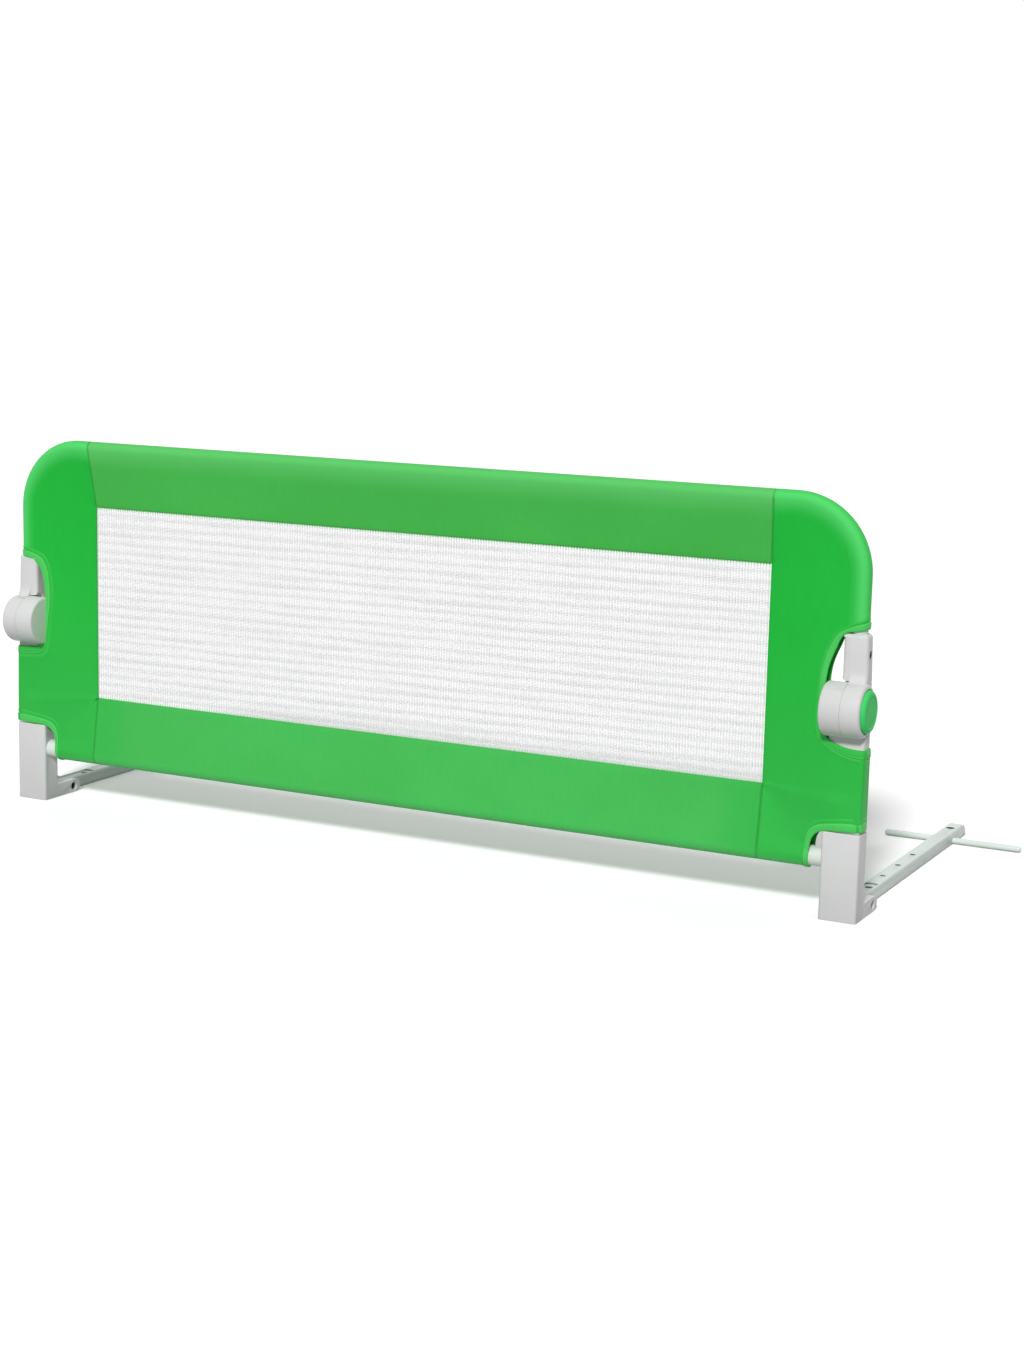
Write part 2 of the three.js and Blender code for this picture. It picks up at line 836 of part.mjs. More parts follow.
function holeDown(back, radius) {
  const y = back - pivotBack;
  return bar(
    at(0, y, channelHigh - pivotHeight - 3 * channelWall),
    at(0, y, channelHigh),
    radius,
    pinFacets,
  );
}

const smallHoleBacks = Array.from(
  { length: smallHoles },
  (_, i) => firstSmallHole + i * smallHolePitch,
);

// The long arm: a channel open below, its top cut back over the bracket near the foot.
function makeChannel() {
  const top = channelHigh - pivotHeight;
  const low = channelLow - pivotHeight;
  const end = channelEnd - pivotBack;
  const half = channelWidth / 2;
  const outside = alongX(
    armSide(top, low, channelNearRadius, end, channelNose),
    -half,
    half,
  );
  const inside = alongX(
    outlineFrom([
      [-channelNearRadius - overrun, low - overrun],
      [end - channelWall, low - overrun],
      ...arc(
        end - channelNose,
        top - channelNose,
        channelNose - channelWall,
        0,
        quarter,
        5,
      ),
      [-channelNearRadius - overrun, top - channelWall],
    ]),
    channelWall - half,
    half - channelWall,
  );
  const topCut = box(
    channelWall - half,
    half - channelWall,
    -channelNearRadius - overrun,
    channelOpenEnd - pivotBack,
    0,
    channelHigh,
  );
  const rodY = rodBack - pivotBack;
  const notchRadius = rodRadius + clearance;
  const rodZ = rodRadius - pivotHeight;
  const notch = joined(
    bar(at(-half - overrun, rodY, rodZ), at(half + overrun, rodY, rodZ), notchRadius, 16),
    box(-half - overrun, half + overrun, rodY - notchRadius, rodY + notchRadius, low - overrun, rodZ),
  );
  const rivet = bar(at(-half - overrun, 0, 0), at(half + overrun, 0, 0), rivetRadius + clearance, 16);
  return cutFrom(
    outside,
    inside,
    topCut,
    notch,
    rivet,
    ...smallHoleBacks.map((back) => holeDown(back, smallHoleRadius)),
    holeDown(farHole, bigHoleRadius),
  );
}

// The short bracket inside the channel, held by the pivot rivet.
function makeBracket() {
  const top = channelHigh - pivotHeight - channelWall - clearance;
  const low = channelLow - pivotHeight;
  const end = bracketEnd - pivotBack;
  const half = channelWidth / 2 - channelWall - clearance;
  const near = channelNearRadius - channelWall;
  const outside = alongX(armSide(top, low, near, end, 0), -half, half);
  const inside = box(
    channelWall - half,
    half - channelWall,
    -near - overrun,
    end + overrun,
    low - overrun,
    top - channelWall,
  );
  const rivet = bar(at(-half - overrun, 0, 0), at(half + overrun, 0, 0), rivetRadius + clearance, 16);
  return cutFrom(
    outside,
    inside,
    rivet,
    holeDown(nearHole, bigHoleRadius),
    holeDown(firstSmallHole, smallHoleRadius),
  );
}

// The cross rod with its round ends, at the far end of an arm.
function makeRod() {
  const y = rodBack - pivotBack;
  const z = rodRadius - pivotHeight;
  const start = rodOffset - rodHalf;
  const end = rodOffset + rodHalf;
  const profile = [
    ...arc(0, start + rodRadius, rodRadius, -quarter, 0, 4),
    ...arc(0, end - rodRadius, rodRadius, 0, quarter, 4),
  ];
  return moved(turned(profile, 16), 0, y, z);
}

function makePivotRivet() {
  const outer = footWidth / 2 - clearance;
  const head = rivetHeadDepth - clearance;
  const way = axisX.clone().negate();
  const whole = headedPin(at(outer, 0, 0), way, 2 * outer, rivetRadius, rivetHeadRadius, head);
  return joined(whole, bar(at(-outer, 0, 0), at(head - outer, 0, 0), rivetHeadRadius));
}

// Cloth: the cover is a sleeve of two layers round the tubes, sewn to the mesh at its edges.
// Half thickness of the upper cover at a place, from the tube's middle line to the window.
function upperHalfThickness(x, z, radius, edge) {
  let past = x - tubeLine;
  if (z > bendZ && x > bendX) past = Math.hypot(x - bendX, z - bendZ) - tubeBend;
  else if (z > bendZ) past = z - topTubeHeight;
  if (past > 0) return Math.sqrt(Math.max(radius ** 2 - past ** 2, 0));
  const fromWindow = Math.hypot(Math.max(x - windowHalf, 0), Math.max(z - windowHigh, 0));
  const slope = fromWindow / Math.max(fromWindow - past, weld);
  return edge + (radius - edge) * slope;
}

// One filled skin of the upper side cover, drawn along rays from the window to the outline.
function upperSkin(radius, edge, reach) {
  const low = hingeHeight + seamGap / 2 - reach;
  const seam = windowHalf + seamGap / 2 - reach;
  const outline = tubeBend + radius;
  const rays = [
    [[windowHalf, low], [tubeLine + radius, low]],
    [[windowHalf, bendZ], [tubeLine + radius, bendZ]],
  ];
  for (const [x, z] of arc(bendX, bendZ, outline, 0, quarter, bendSteps).slice(1)) {
    rays.push([[windowHalf, windowHigh], [x, z]]);
  }
  rays.push([[seam, windowHigh], [seam + seamSlant, topTubeHeight + radius]]);
  const depthShares = [0, 0.06, 0.22, 0.55, 1];
  const insideShares = [0.5, 1];
  const rows = rays.map(([from, to]) => {
    const length = Math.hypot(to[0] - from[0], to[1] - from[1]);
    const depths = depthShares.map((share) => share * radius);
    depths.push(...insideShares.map((share) => radius + share * (length - radius)));
    return depths.toReversed().map((depth) => {
      const share = 1 - depth / length;
      const x = from[0] + (to[0] - from[0]) * share;
      const z = from[1] + (to[1] - from[1]) * share;
      return [x, z, depth === 0 ? 0 : upperHalfThickness(x, z, radius, edge)];
    });
  });
  return pillow(rows);
}

// A closed solid between a front and a back skin, from rows of [x, z, half thickness].
function pillow(rows) {
  const corners = [];
  const place = ([x, z, half], side) => [x, side * half, z];
  const face = (a, b, c, d) => corners.push(...a, ...b, ...c, ...a, ...c, ...d);
  const last = rows[0].length - 1;
  for (let i = 0; i + 1 < rows.length; i++) {
    const [here, next] = [rows[i], rows[i + 1]];
    for (let j = 0; j < last; j++) {
      const quad = [here[j], here[j + 1], next[j + 1], next[j]];
      face(...quad.map((point) => place(point, -1)));
      face(...quad.toReversed().map((point) => place(point, 1)));
    }
    face(place(here[0], 1), place(here[0], -1), place(next[0], -1), place(next[0], 1));
    face(
      place(here[last], -1),
      place(here[last], 1),
      place(next[last], 1),
      place(next[last], -1),
    );
  }
  const [first, final] = [rows[0], rows.at(-1)];
  for (let j = 0; j < last; j++) {
    face(place(first[j], -1), place(first[j], 1), place(first[j + 1], 1), place(first[j + 1], -1));
    face(place(final[j], 1), place(final[j], -1), place(final[j + 1], -1), place(final[j + 1], 1));
  }
  const geometry = new THREE.BufferGeometry();
  geometry.setAttribute("position", new THREE.Float32BufferAttribute(corners, 3));
  return solidOf(geometry);
}

function makeUpperSideCover() {
  const outside = upperSkin(coverRadius, seamHalf, 0);
  const inside = upperSkin(coverRadius - clothThickness, seamHalf - clothThickness, overrun);
  const shell = cutFrom(outside, inside, windowOpening());
  return cutFrom(shell, hingeCut());
}

// Opens the cover's edge along the window, where the mesh goes in between the two layers.
function windowOpening() {
  const half = seamHalf - clothThickness;
  return box(0, windowHalf + overrun, -half, half, windowLow - overrun, windowHigh + overrun);
}

// The opening in both layers that lets the barrel and the arm through.
function hingeCut() {
  const end = railHalf + endPanel;
  const armCorner = hingeHeight + armTop + hingeCutNear;
  const top = hingeHeight + armTop + hingeCutRise;
  const low = hingeHeight - barrelRadius - hingeCutBelow;
  const bottom = hingeHeight - barrelRadius - hingeCutDrop;
  const cut = new THREE.Shape();
  cut.moveTo(end, top);
  cut.lineTo(railHalf, top);
  cut.lineTo(armInner, armCorner);
  cut.quadraticCurveTo(
    hingeCutLine + footCutRound / 2,
    armCorner - footCutRound / 2,
    hingeCutLine,
    hingeHeight + hingeCutSide,
  );
  cut.lineTo(hingeCutLine, low + footCutRound);
  cut.quadraticCurveTo(hingeCutLine, low, hingeCutLine + footCutRound, low);
  cut.lineTo(railHalf, bottom);
  cut.lineTo(end, bottom);
  cut.closePath();
  return alongY(cut, -railHalf, railHalf);
}

function footCut() {
  const line = railHalf - footCutIn;
  const end = railHalf + footCutIn;
  const cut = outlineFrom([
    [line, 0],
    [end, 0],
    [end, footHeight + footCutRise],
    [railHalf, footHeight + footCutRise],
    ...arc(line + footCutRound, footCutHigh - footCutRound, footCutRound, quarter, 2 * quarter, 4),
  ]);
  return alongY(cut, -railHalf, railHalf);
}

// The sleeve's section round the post at one height, as points [x, y].
function postSection(z, thickness) {
  const share = (z - footHeight) / (hingeHeight - footHeight);
  const postFront = postFrontLow + (postFrontHigh - postFrontLow) * share;
  const front = -(postFront + clearance + thickness);
  const back = postBack + clearance + thickness;
  const outer = postOuter + clearance + thickness;
  const half = meshThickness / 2 + clearance + thickness;
  const round = postRound + thickness;
  const seam = windowHalf + seamGap / 2 - (thickness ? 0 : overrun);
  return [
    [seam, -half],
    [postInner, front],
    ...arc(outer - round, front + round, round, -quarter, 0, 3),
    ...arc(outer - round, back - round, round, 0, quarter, 3),
    [postInner, back],
    [seam, half],
  ];
}

// A straight loft between two sections with as many points, at two heights.
function loft(lowPoints, lowZ, highPoints, highZ) {
  const corners = [];
  const low = lowPoints.map(([x, y]) => [x, y, lowZ]);
  const high = highPoints.map(([x, y]) => [x, y, highZ]);
  low.forEach((point, i) => {
    const next = (i + 1) % low.length;
    corners.push(...point, ...low[next], ...high[next]);
    corners.push(...point, ...high[next], ...high[i]);
  });
  const flat = (points) => points.map(([x, y]) => new THREE.Vector2(x, y));
  for (const [a, b, c] of THREE.ShapeUtils.triangulateShape(flat(lowPoints), [])) {
    corners.push(...low[a], ...low[c], ...low[b]);
  }
  for (const [a, b, c] of THREE.ShapeUtils.triangulateShape(flat(highPoints), [])) {
    corners.push(...high[a], ...high[b], ...high[c]);
  }
  const geometry = new THREE.BufferGeometry();
  geometry.setAttribute("position", new THREE.Float32BufferAttribute(corners, 3));
  return solidOf(geometry);
}

function postSkin(thickness) {
  const reach = thickness ? 0 : overrun;
  const low = bottomTubeHeight;
  const high = hingeHeight - seamGap / 2 + reach;
  return loft(postSection(low, thickness), low, postSection(high, thickness), high);
}

// A strip's section: flat layers from a window edge round a tube, as an outline of [y, z].
function sleeveOutline(tubeZ, windowZ, radius, half, facets) {
  const up = tubeZ > windowZ;
  const turn = up ? arc(0, tubeZ, radius, 0, 2 * quarter, facets) : [];
  const below = up ? [] : arc(0, tubeZ, radius, 2 * quarter, 4 * quarter, facets);
  return up
    ? outlineFrom([[half, windowZ], ...turn, [-half, windowZ]])
    : outlineFrom([[-half, windowZ], ...below, [half, windowZ]]);
}

function sleeve(tubeZ, windowZ, radius, from, to) {
  const facets = 12;
  const bare = radius - clothThickness;
  const bareHalf = seamHalf - clothThickness;
  const beyond = windowZ + Math.sign(windowZ - tubeZ) * overrun;
  const outside = alongX(sleeveOutline(tubeZ, windowZ, radius, seamHalf, facets), from, to);
  const inside = alongX(
    sleeveOutline(tubeZ, beyond, bare, bareHalf, facets),
    from - overrun,
    to + overrun,
  );
  return [outside, inside];
}

function makeLowerSideCover() {
  const start = windowHalf + seamGap / 2;
  const end = railHalf - footCutIn + footCutRound;
  const [strip, stripRoom] = sleeve(
    bottomTubeHeight,
    windowLow,
    bottomCoverRadius,
    start,
    end,
  );
  return cutFrom(
    joined(postSkin(clothThickness), strip),
    postSkin(0),
    stripRoom,
    windowOpening(),
    hingeCut(),
    footCut(),
  );
}

// The top sleeve, whose ends lean outwards with the seams.
function makeTopCover() {
  const half = windowHalf - seamGap / 2;
  const end = half + seamSlant;
  const [strip, room] = sleeve(topTubeHeight, windowHigh, coverRadius, -end, end);
  const cut = [
    [half, windowHigh - overrun],
    [half, windowHigh],
    [end, railTop],
    [end, railTop + overrun],
  ];
  const mirrorCut = cut.toReversed().map(([x, z]) => [-x, z]);
  const panel = alongY(outlineFrom([...cut, ...mirrorCut]), -railHalf, railHalf);
  return cutFrom(strip, room).intersect(panel);
}

function makeBottomCover() {
  const half = windowHalf - seamGap / 2;
  const [strip, room] = sleeve(bottomTubeHeight, windowLow, bottomCoverRadius, -half, half);
  return cutFrom(strip, room);
}

// The mesh as a flat net with a plain hem that goes in between the layers of the cover.
function makeNet(low, high, hemLow, hemHigh, rows) {
  const half = windowHalf + meshTuck;
  const face = meshThickness / 2;
  const width = 2 * windowHalf - netBar;
  const height = high - hemHigh - low - hemLow - netBar;
  const across = width / netColumns;
  const up = height / rows;
  const x0 = netBar - windowHalf;
  const z0 = low + hemLow + netBar;
  const gaps = [];
  for (let column = 0; column < netColumns; column++) {
    for (let row = 0; row < rows; row++) {
      const [x, z] = [x0 + column * across, z0 + row * up];
      const [right, top] = [x + across - netBar, z + up - netBar];
      gaps.push(box(x, right, -overrun, overrun, z, top));
    }
  }
  return cutFrom(box(-half, half, -face, face, low, high), ...gaps);
}

function group(x, y, z, ...children) {
  const made = new THREE.Group();
  made.position.set(x, y, z);
  made.add(...children);
  return made;
}

// Everything that comes in a pair, for the right side; the left side is its mirror image.
function sidePieces(side) {
  const named = (name, shape, material) => piece(name + "_" + side, shape, material);
  const foot = group(
    footMiddle,
    0,
    0,
    named("foot", makeFoot(), whitePlastic),
    named(
      "tube_screw",
      headedPin(
        tubeScrewFace().addScaledVector(backwards, clearance / 2),
        backwards,
        tubeScrewLength,
        screwRadius,
        screwHeadRadius,
        screwHeadDepth,
      ),
      zinc,
    ),
    named(
      "post_screw",
      headedPin(
        postScrewFace().addScaledVector(backwards, clearance / 2),
        backwards,
        postScrewLength,
        screwRadius,
        screwHeadRadius,
        screwHeadDepth,
      ),
      zinc,
    ),
  );
  const hinge = group(
    parting,
    -hingeForward,
    hingeHeight,
    named("hinge_post", makeHingePost(), whitePlastic),
    named("hinge_arm", makeHingeArm(), whitePlastic),
    named("axle_bolt", makeBolt(), zinc),
    named("lock_gear", makeGear(), zinc),
    named("lock_spring", makeSpring(), zinc),
    named("release_button", makeButton(), greenPlastic),
    named(
      "socket_screw",
      headedPin(
        socketScrewFace().addScaledVector(axisX, -clearance / 2),
        axisX.clone().negate(),
        armOuter - tubeLine - tubeWall,
        screwRadius,
        screwHeadRadius,
        socketScrewHead,
      ),
      zinc,
    ),
  );
  const arm = group(
    footMiddle,
    pivotBack,
    pivotHeight,
    named("arm_channel", makeChannel(), whitePaint),
    named("arm_bracket", makeBracket(), whitePaint),
    named("cross_rod", makeRod(), whitePaint),
    named("pivot_rivet", makePivotRivet(), zinc),
  );
  const half = group(
    0,
    0,
    0,
    foot,
    hinge,
    arm,
    named("corner_tube", makeCornerTube(), whitePaint),
    named("snap_pin", makeSnapPin(), zinc),
    named("bottom_tube", makeBottomTube(), whitePaint),
    named("side_cover_upper", makeUpperSideCover(), greenCloth),
    named("side_cover_lower", makeLowerSideCover(), greenCloth),
  );
  if (side === "left") half.scale.x = -1;
  return half;
}

const fold = hingeHeight;
const middlePieces = [
  piece("top_tube", makeTopTube(), whitePaint),
  piece("bottom_tube_joiner", makeJoiner(), zinc),
  piece("top_cover", makeTopCover(), greenTop),
  piece("bottom_cover", makeBottomCover(), greenCloth),
  piece(
    "mesh_upper",
    makeNet(fold + seamGap / 2, windowHigh + meshTuck, 0, meshTuck, netRowsUpper),
    whiteMesh,
  ),
  piece(
    "mesh_lower",
    makeNet(windowLow - meshTuck, fold - seamGap / 2, meshTuck, 0, netRowsLower),
    whiteMesh,
  ),
];

// The rail stands on the floor with the middle of its footprint over the origin.
const frontReach = hingeForward + barrelRadius;
const rail = new THREE.Group();
rail.position.y = (frontReach - channelEnd) / 2;
rail.add(sidePieces("left"), sidePieces("right"), ...middlePieces);

export default rail;
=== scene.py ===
# Folding guard rail for the side of a bed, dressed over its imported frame.
# Metres, +Z up, the room side is -Y. Sizes in the dictionaries are in millimetres, unless a note
# says otherwise.
import math

import bpy
from mathutils import Matrix, Vector, noise
from mathutils.bvhtree import BVHTree


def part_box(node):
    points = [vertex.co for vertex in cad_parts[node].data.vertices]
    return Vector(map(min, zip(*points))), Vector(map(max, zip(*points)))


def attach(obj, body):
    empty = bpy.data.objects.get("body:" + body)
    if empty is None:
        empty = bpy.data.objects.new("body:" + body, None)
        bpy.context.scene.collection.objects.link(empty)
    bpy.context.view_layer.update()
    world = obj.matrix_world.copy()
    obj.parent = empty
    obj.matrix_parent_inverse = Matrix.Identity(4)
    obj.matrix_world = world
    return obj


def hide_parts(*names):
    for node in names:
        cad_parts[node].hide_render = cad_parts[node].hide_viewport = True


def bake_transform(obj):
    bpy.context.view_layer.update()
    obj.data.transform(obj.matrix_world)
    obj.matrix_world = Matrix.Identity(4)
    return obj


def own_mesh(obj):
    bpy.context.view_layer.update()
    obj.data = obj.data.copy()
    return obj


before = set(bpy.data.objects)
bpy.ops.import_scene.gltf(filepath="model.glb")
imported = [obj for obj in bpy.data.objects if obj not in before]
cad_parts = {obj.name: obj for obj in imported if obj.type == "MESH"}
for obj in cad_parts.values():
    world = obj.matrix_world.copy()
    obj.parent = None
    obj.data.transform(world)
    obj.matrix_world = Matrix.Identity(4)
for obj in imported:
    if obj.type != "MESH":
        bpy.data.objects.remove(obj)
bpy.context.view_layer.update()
scene = bpy.context.scene
mm = 0.001
tiny = 0.01 * mm  # slack when edges and faces are picked by their place
overrun = 2  # how far a cutting shape runs past what it cuts
quarter = math.pi / 2
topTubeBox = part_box("top_tube")
tubePlane = (topTubeBox[0].y + topTubeBox[1].y) / 2  # the middle plane of all the tubes
print("frame loaded:", len(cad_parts), "nodes")


def depth(y):
    return y * mm + tubePlane


def place(x, y, z):
    return Vector((x * mm, depth(y), z * mm))


def mix(a, b, share):
    return a + (b - a) * share


def smooth(value, start, end):
    share = min(max((value - start) / (end - start), 0), 1)
    return share * share * (3 - 2 * share)


def addObject(name, data):
    made = bpy.data.objects.new(name, data)
    scene.collection.objects.link(made)
    return made


# Camera, floor and light
view = {
    "place": (1.1768, -2.2782, 0.6199),  # metres
    "turn": 26.708,  # degrees to the left of +Y
    "down": 10.252,  # degrees below the level
    "roll": 1.353,  # degrees
    "lens": 61.5,
    "sensor": 36,
    "clipEnd": 50,  # metres
}
cameraData = bpy.data.cameras.new("camera")
camera = addObject("camera", cameraData)
cameraData.sensor_width = view["sensor"]
cameraData.lens = view["lens"]
cameraData.clip_end = view["clipEnd"]
turned = Matrix.Rotation(math.radians(view["turn"]), 4, "Z")
tilted = Matrix.Rotation(quarter - math.radians(view["down"]), 4, "X")
rolled = Matrix.Rotation(math.radians(view["roll"]), 4, "Z")
camera.matrix_world = Matrix.Translation(view["place"]) @ turned @ tilted @ rolled
scene.camera = camera
scene.view_settings.view_transform = "Standard"

light = {
    "azimuth": 12.5,  # degrees from -Y towards +X
    "elevation": 36,
    "strength": 2.25,
    "spread": 8.5,  # degrees across, for soft shadows
    "around": 0.13,  # strength of the world at the horizon
    "above": 0.5,  # what its top adds to that
    "behind": 0.6,  # what its back adds, so that the rail isn't dark from behind
}
keyData = bpy.data.lights.new("key", "SUN")
keyData.energy = light["strength"]
keyData.angle = math.radians(light["spread"])
key = addObject("key", keyData)
azimuth, elevation = math.radians(light["azimuth"]), math.radians(light["elevation"])
towards = Matrix.Rotation(azimuth, 3, "Z") @ Vector((0, -math.cos(elevation), math.sin(elevation)))
key.rotation_euler = towards.to_track_quat("Z", "Y").to_euler()
print("camera and light set")


def plug(tree, socket, value):
    if isinstance(value, Wire):
        tree.links.new(value.socket, socket)
    else:
        socket.default_value = value


# Every node is made here, from its type, its settings and its sockets' values or wires
def addNode(tree, kind, settings=None, sockets=None):
    node = tree.nodes.new(kind)
    for name, value in (settings or {}).items():
        setattr(node, name, value)
    for name, value in (sockets or {}).items():
        plug(tree, node.inputs[name], value)
    return node


# Shader maths: a wire is a socket that can be added, multiplied and so on
class Wire:
    def __init__(self, tree, socket):
        self.tree = tree
        self.socket = socket

    def maths(self, operation, *others):
        values = dict(enumerate((self, *others)))
        node = addNode(self.tree, "ShaderNodeMath", {"operation": operation}, values)
        return Wire(self.tree, node.outputs[0])

    def __add__(self, other):
        return self.maths("ADD", other)

    def __sub__(self, other):
        return self.maths("SUBTRACT", other)

    def __mul__(self, other):
        return self.maths("MULTIPLY", other)

    def __rsub__(self, other):
        return (self * -1).maths("ADD", other)

    __radd__ = __add__
    __rmul__ = __mul__

    def sine(self):
        return self.maths("SINE")

    def size(self):
        return self.maths("ABSOLUTE")

    def step(self, low, high):
        settings = {"interpolation_type": "SMOOTHSTEP"}
        node = addNode(self.tree, "ShaderNodeMapRange", settings, {0: self, 1: low, 2: high})
        return Wire(self.tree, node.outputs[0])


def colour(red, green, blue):
    def linear(value):
        share = value / 255
        return share / 12.92 if share < 0.04045 else ((share + 0.055) / 1.055) ** 2.4

    return (linear(red), linear(green), linear(blue), 1)


# The factor that gives a wave one full turn over a pitch in millimetres
def turnOver(pitch):
    return 2 * math.pi / (pitch * mm)


class Finish:
    def __init__(self, name):
        self.material = bpy.data.materials.new(name)
        self.material.use_nodes = True
        self.tree = self.material.node_tree
        self.shader = self.tree.nodes["Principled BSDF"]

    # A node's output as a wire
    def node(self, kind, settings=None, sockets=None, out=0):
        return Wire(self.tree, addNode(self.tree, kind, settings, sockets).outputs[out])

    def where(self, out="Object"):
        return self.node("ShaderNodeTexCoord", out=out)

    # One of the values that clothMesh keeps on a piece's points
    def stored(self, label):
        return self.node("ShaderNodeAttribute", {"attribute_name": label}, out="Fac")

    def stretched(self, vector, scale):
        return self.node("ShaderNodeMapping", {}, {"Vector": vector, "Scale": scale})

    def speckle(self, scale, detail=2.0, vector=None):
        sockets = {"Scale": scale, "Detail": detail, "Vector": vector or self.where()}
        return self.node("ShaderNodeTexNoise", {}, sockets)

    def axes(self, vector):
        node = addNode(self.tree, "ShaderNodeSeparateXYZ", {}, {0: vector})
        return [Wire(self.tree, output) for output in node.outputs]

    def between(self, share, first, second):
        sockets = {0: share, 6: first, 7: second}
        return self.node("ShaderNodeMix", {"data_type": "RGBA"}, sockets, out=2)

    def raised(self, height, distance, strength=1.0, before=None):
        sockets = {"Height": height, "Distance": distance, "Strength": strength}
        if before:
            sockets["Normal"] = before
        return self.node("ShaderNodeBump", {}, sockets)

    def set(self, **sockets):
        for name, value in sockets.items():
            plug(self.tree, self.shader.inputs[name.replace("_", " ")], value)
        return self.material


def mouldedPlastic(name, pale, dark, roughness, grain, gloss=0.13):
    finish = Finish(name)
    clouds = finish.speckle(14, 3)
    grains = finish.speckle(900, 3)
    blush = clouds.step(0.3, 0.7)
    return finish.set(
        Base_Color=finish.between(blush * 0.8 + grains * 0.2, dark, pale),
        Roughness=roughness + (clouds - 0.5) * 0.12 + (grains - 0.5) * 0.1,
        Normal=finish.raised(grains, grain * mm, 0.35, finish.raised(finish.speckle(60), 0.00006)),
        Specular_IOR_Level=gloss,
    )


def powderCoat(name, pale, dark):
    finish = Finish(name)
    peel = finish.speckle(420, 2)
    clouds = finish.speckle(9, 4)
    return finish.set(
        Base_Color=finish.between(clouds.step(0.25, 0.75), dark, pale),
        Roughness=0.34 + (peel - 0.5) * 0.16,
        Normal=finish.raised(peel, 0.00012, 0.5),
        Coat_Weight=0.06,
        Coat_Roughness=0.25,
        Specular_IOR_Level=0.25,
    )


def plated(name, dark, pale):
    finish = Finish(name)
    clouds = finish.speckle(160, 5)
    brushed = finish.speckle(300, 2, finish.stretched(finish.where(), (1, 14, 14)))
    return finish.set(
        Base_Color=finish.between(clouds.step(0.3, 0.7), dark, pale),
        Metallic=1.0,
        Roughness=0.3 + clouds * 0.2 + (brushed - 0.5) * 0.1,
        Normal=finish.raised(brushed, 0.00004, 0.5),
    )


# Plain weave from the piece's own UV map, which is in metres of cloth
weave = {
    "pitch": 1.5,  # of two threads
    "low": colour(57, 188, 78),  # a paler green painted towards the floor, for light from below
    # painted shade in the seams' grooves and at the window's edge
    "seam": colour(16, 108, 40),
}


def wovenCloth(name, pale, dark, paintedLightAndTapeBand):
    finish = Finish(name)
    across, along, _ = finish.axes(finish.where("UV"))
    warp = (across * turnOver(weave["pitch"])).sine()
    weft = (along * turnOver(weave["pitch"])).sine()
    over = warp * weft
    threads = warp.size() * 0.5 + weft.size() * 0.5 + over * 0.35
    clouds = finish.speckle(7, 3)
    slubs = finish.speckle(500, 2, finish.stretched(finish.where("UV"), (1, 0.08, 1)))
    paleness = clouds.step(0.3, 0.7) * 0.55 + slubs.step(0.35, 0.65) * 0.2 + threads * 0.2
    body = finish.between(paleness, dark, pale)
    # Painted light and shade: a paler green towards the floor for light from below, a highlight over the
    # tubes, and shade along the seams
    body = finish.between(finish.stored("low"), body, weave["low"])
    body = finish.between(finish.stored("paintedLightAndTapeBand"), body, paintedLightAndTapeBand)
    return finish.set(
        Base_Color=finish.between(finish.stored("seam"), body, weave["seam"]),
        Roughness=0.66 + (threads - 0.5) * 0.12 + (clouds - 0.5) * 0.1,
        Normal=finish.raised(threads, 0.00012, 0.45, finish.raised(finish.speckle(45), 0.0001)),
        Sheen_Weight=0.27,
        Sheen_Roughness=0.42,
        Sheen_Tint=(0.55, 1, 0.62, 1),
        Specular_IOR_Level=0.18,
    )


# Binding tape: ribs across it and threads along it
binding = {"rib": 1.1, "thread": 0.8}


def ribbedTape(name, pale, dark):
    finish = Finish(name)
    across, along, _ = finish.axes(finish.where("UV"))
    ribs = (along * turnOver(binding["rib"])).sine()
    threads = (across * turnOver(binding["thread"])).sine()
    return finish.set(
        # Pale along the tape's band and dark on the cloth's folded edge; a hinge's tape is also painted
        # dark low down, as shade
        Base_Color=finish.between(finish.stored("paintedLightAndTapeBand") + ribs * 0.04, dark, pale),
        Roughness=0.6 + ribs * 0.05,
        Normal=finish.raised(ribs * 0.5 + threads * 0.3, 0.00015, 0.6),
        Sheen_Weight=0.3,
        Sheen_Roughness=0.4,
        Sheen_Tint=(0.6, 1, 0.66, 1),
    )


# Window net: ribs up the piece, finer bars across, open between them, and a denser row now and then
netting = {
    "rib": 3.1,  # from one to the next, as the bars and the denser rows
    "bar": 1.6,
    "row": 10,
    "pale": colour(255, 255, 255),
    "dark": colour(212, 212, 214),
    "edge": colour(190, 236, 194),  # beside the cover, whose green shines on it
}


def openNet(name):
    finish = Finish(name)
    across, along, _ = finish.axes(finish.where("UV"))
    ribs = (across * turnOver(netting["rib"])).sine()
    bars = (along * turnOver(netting["bar"])).sine()
    rows = finish.speckle(250, 3, finish.stretched(finish.where("UV"), (0.05, 1, 1))).step(0.36, 0.64)
    dense = (along * turnOver(netting["row"]) + rows * 1.4).sine()
    clouds = finish.speckle(12, 3)
    wear = ribs * 0.55 + bars * 0.1 + rows * 0.22 + dense * 0.36 + clouds * 0.1 + 0.2
    hole = (ribs * 0.5 + 0.5) * (bars * 0.25 + 0.75)
    body = finish.between(wear, netting["pale"], netting["dark"])
    return finish.set(
        Base_Color=finish.between(finish.stored("paintedLightAndTapeBand"), body, netting["edge"]),
        Roughness=0.7,
        Alpha=0.86 - hole + dense * 0.05,
        Normal=finish.raised(ribs + bars * 0.6, 0.0002, 0.5),
        Sheen_Weight=0.15,
    )


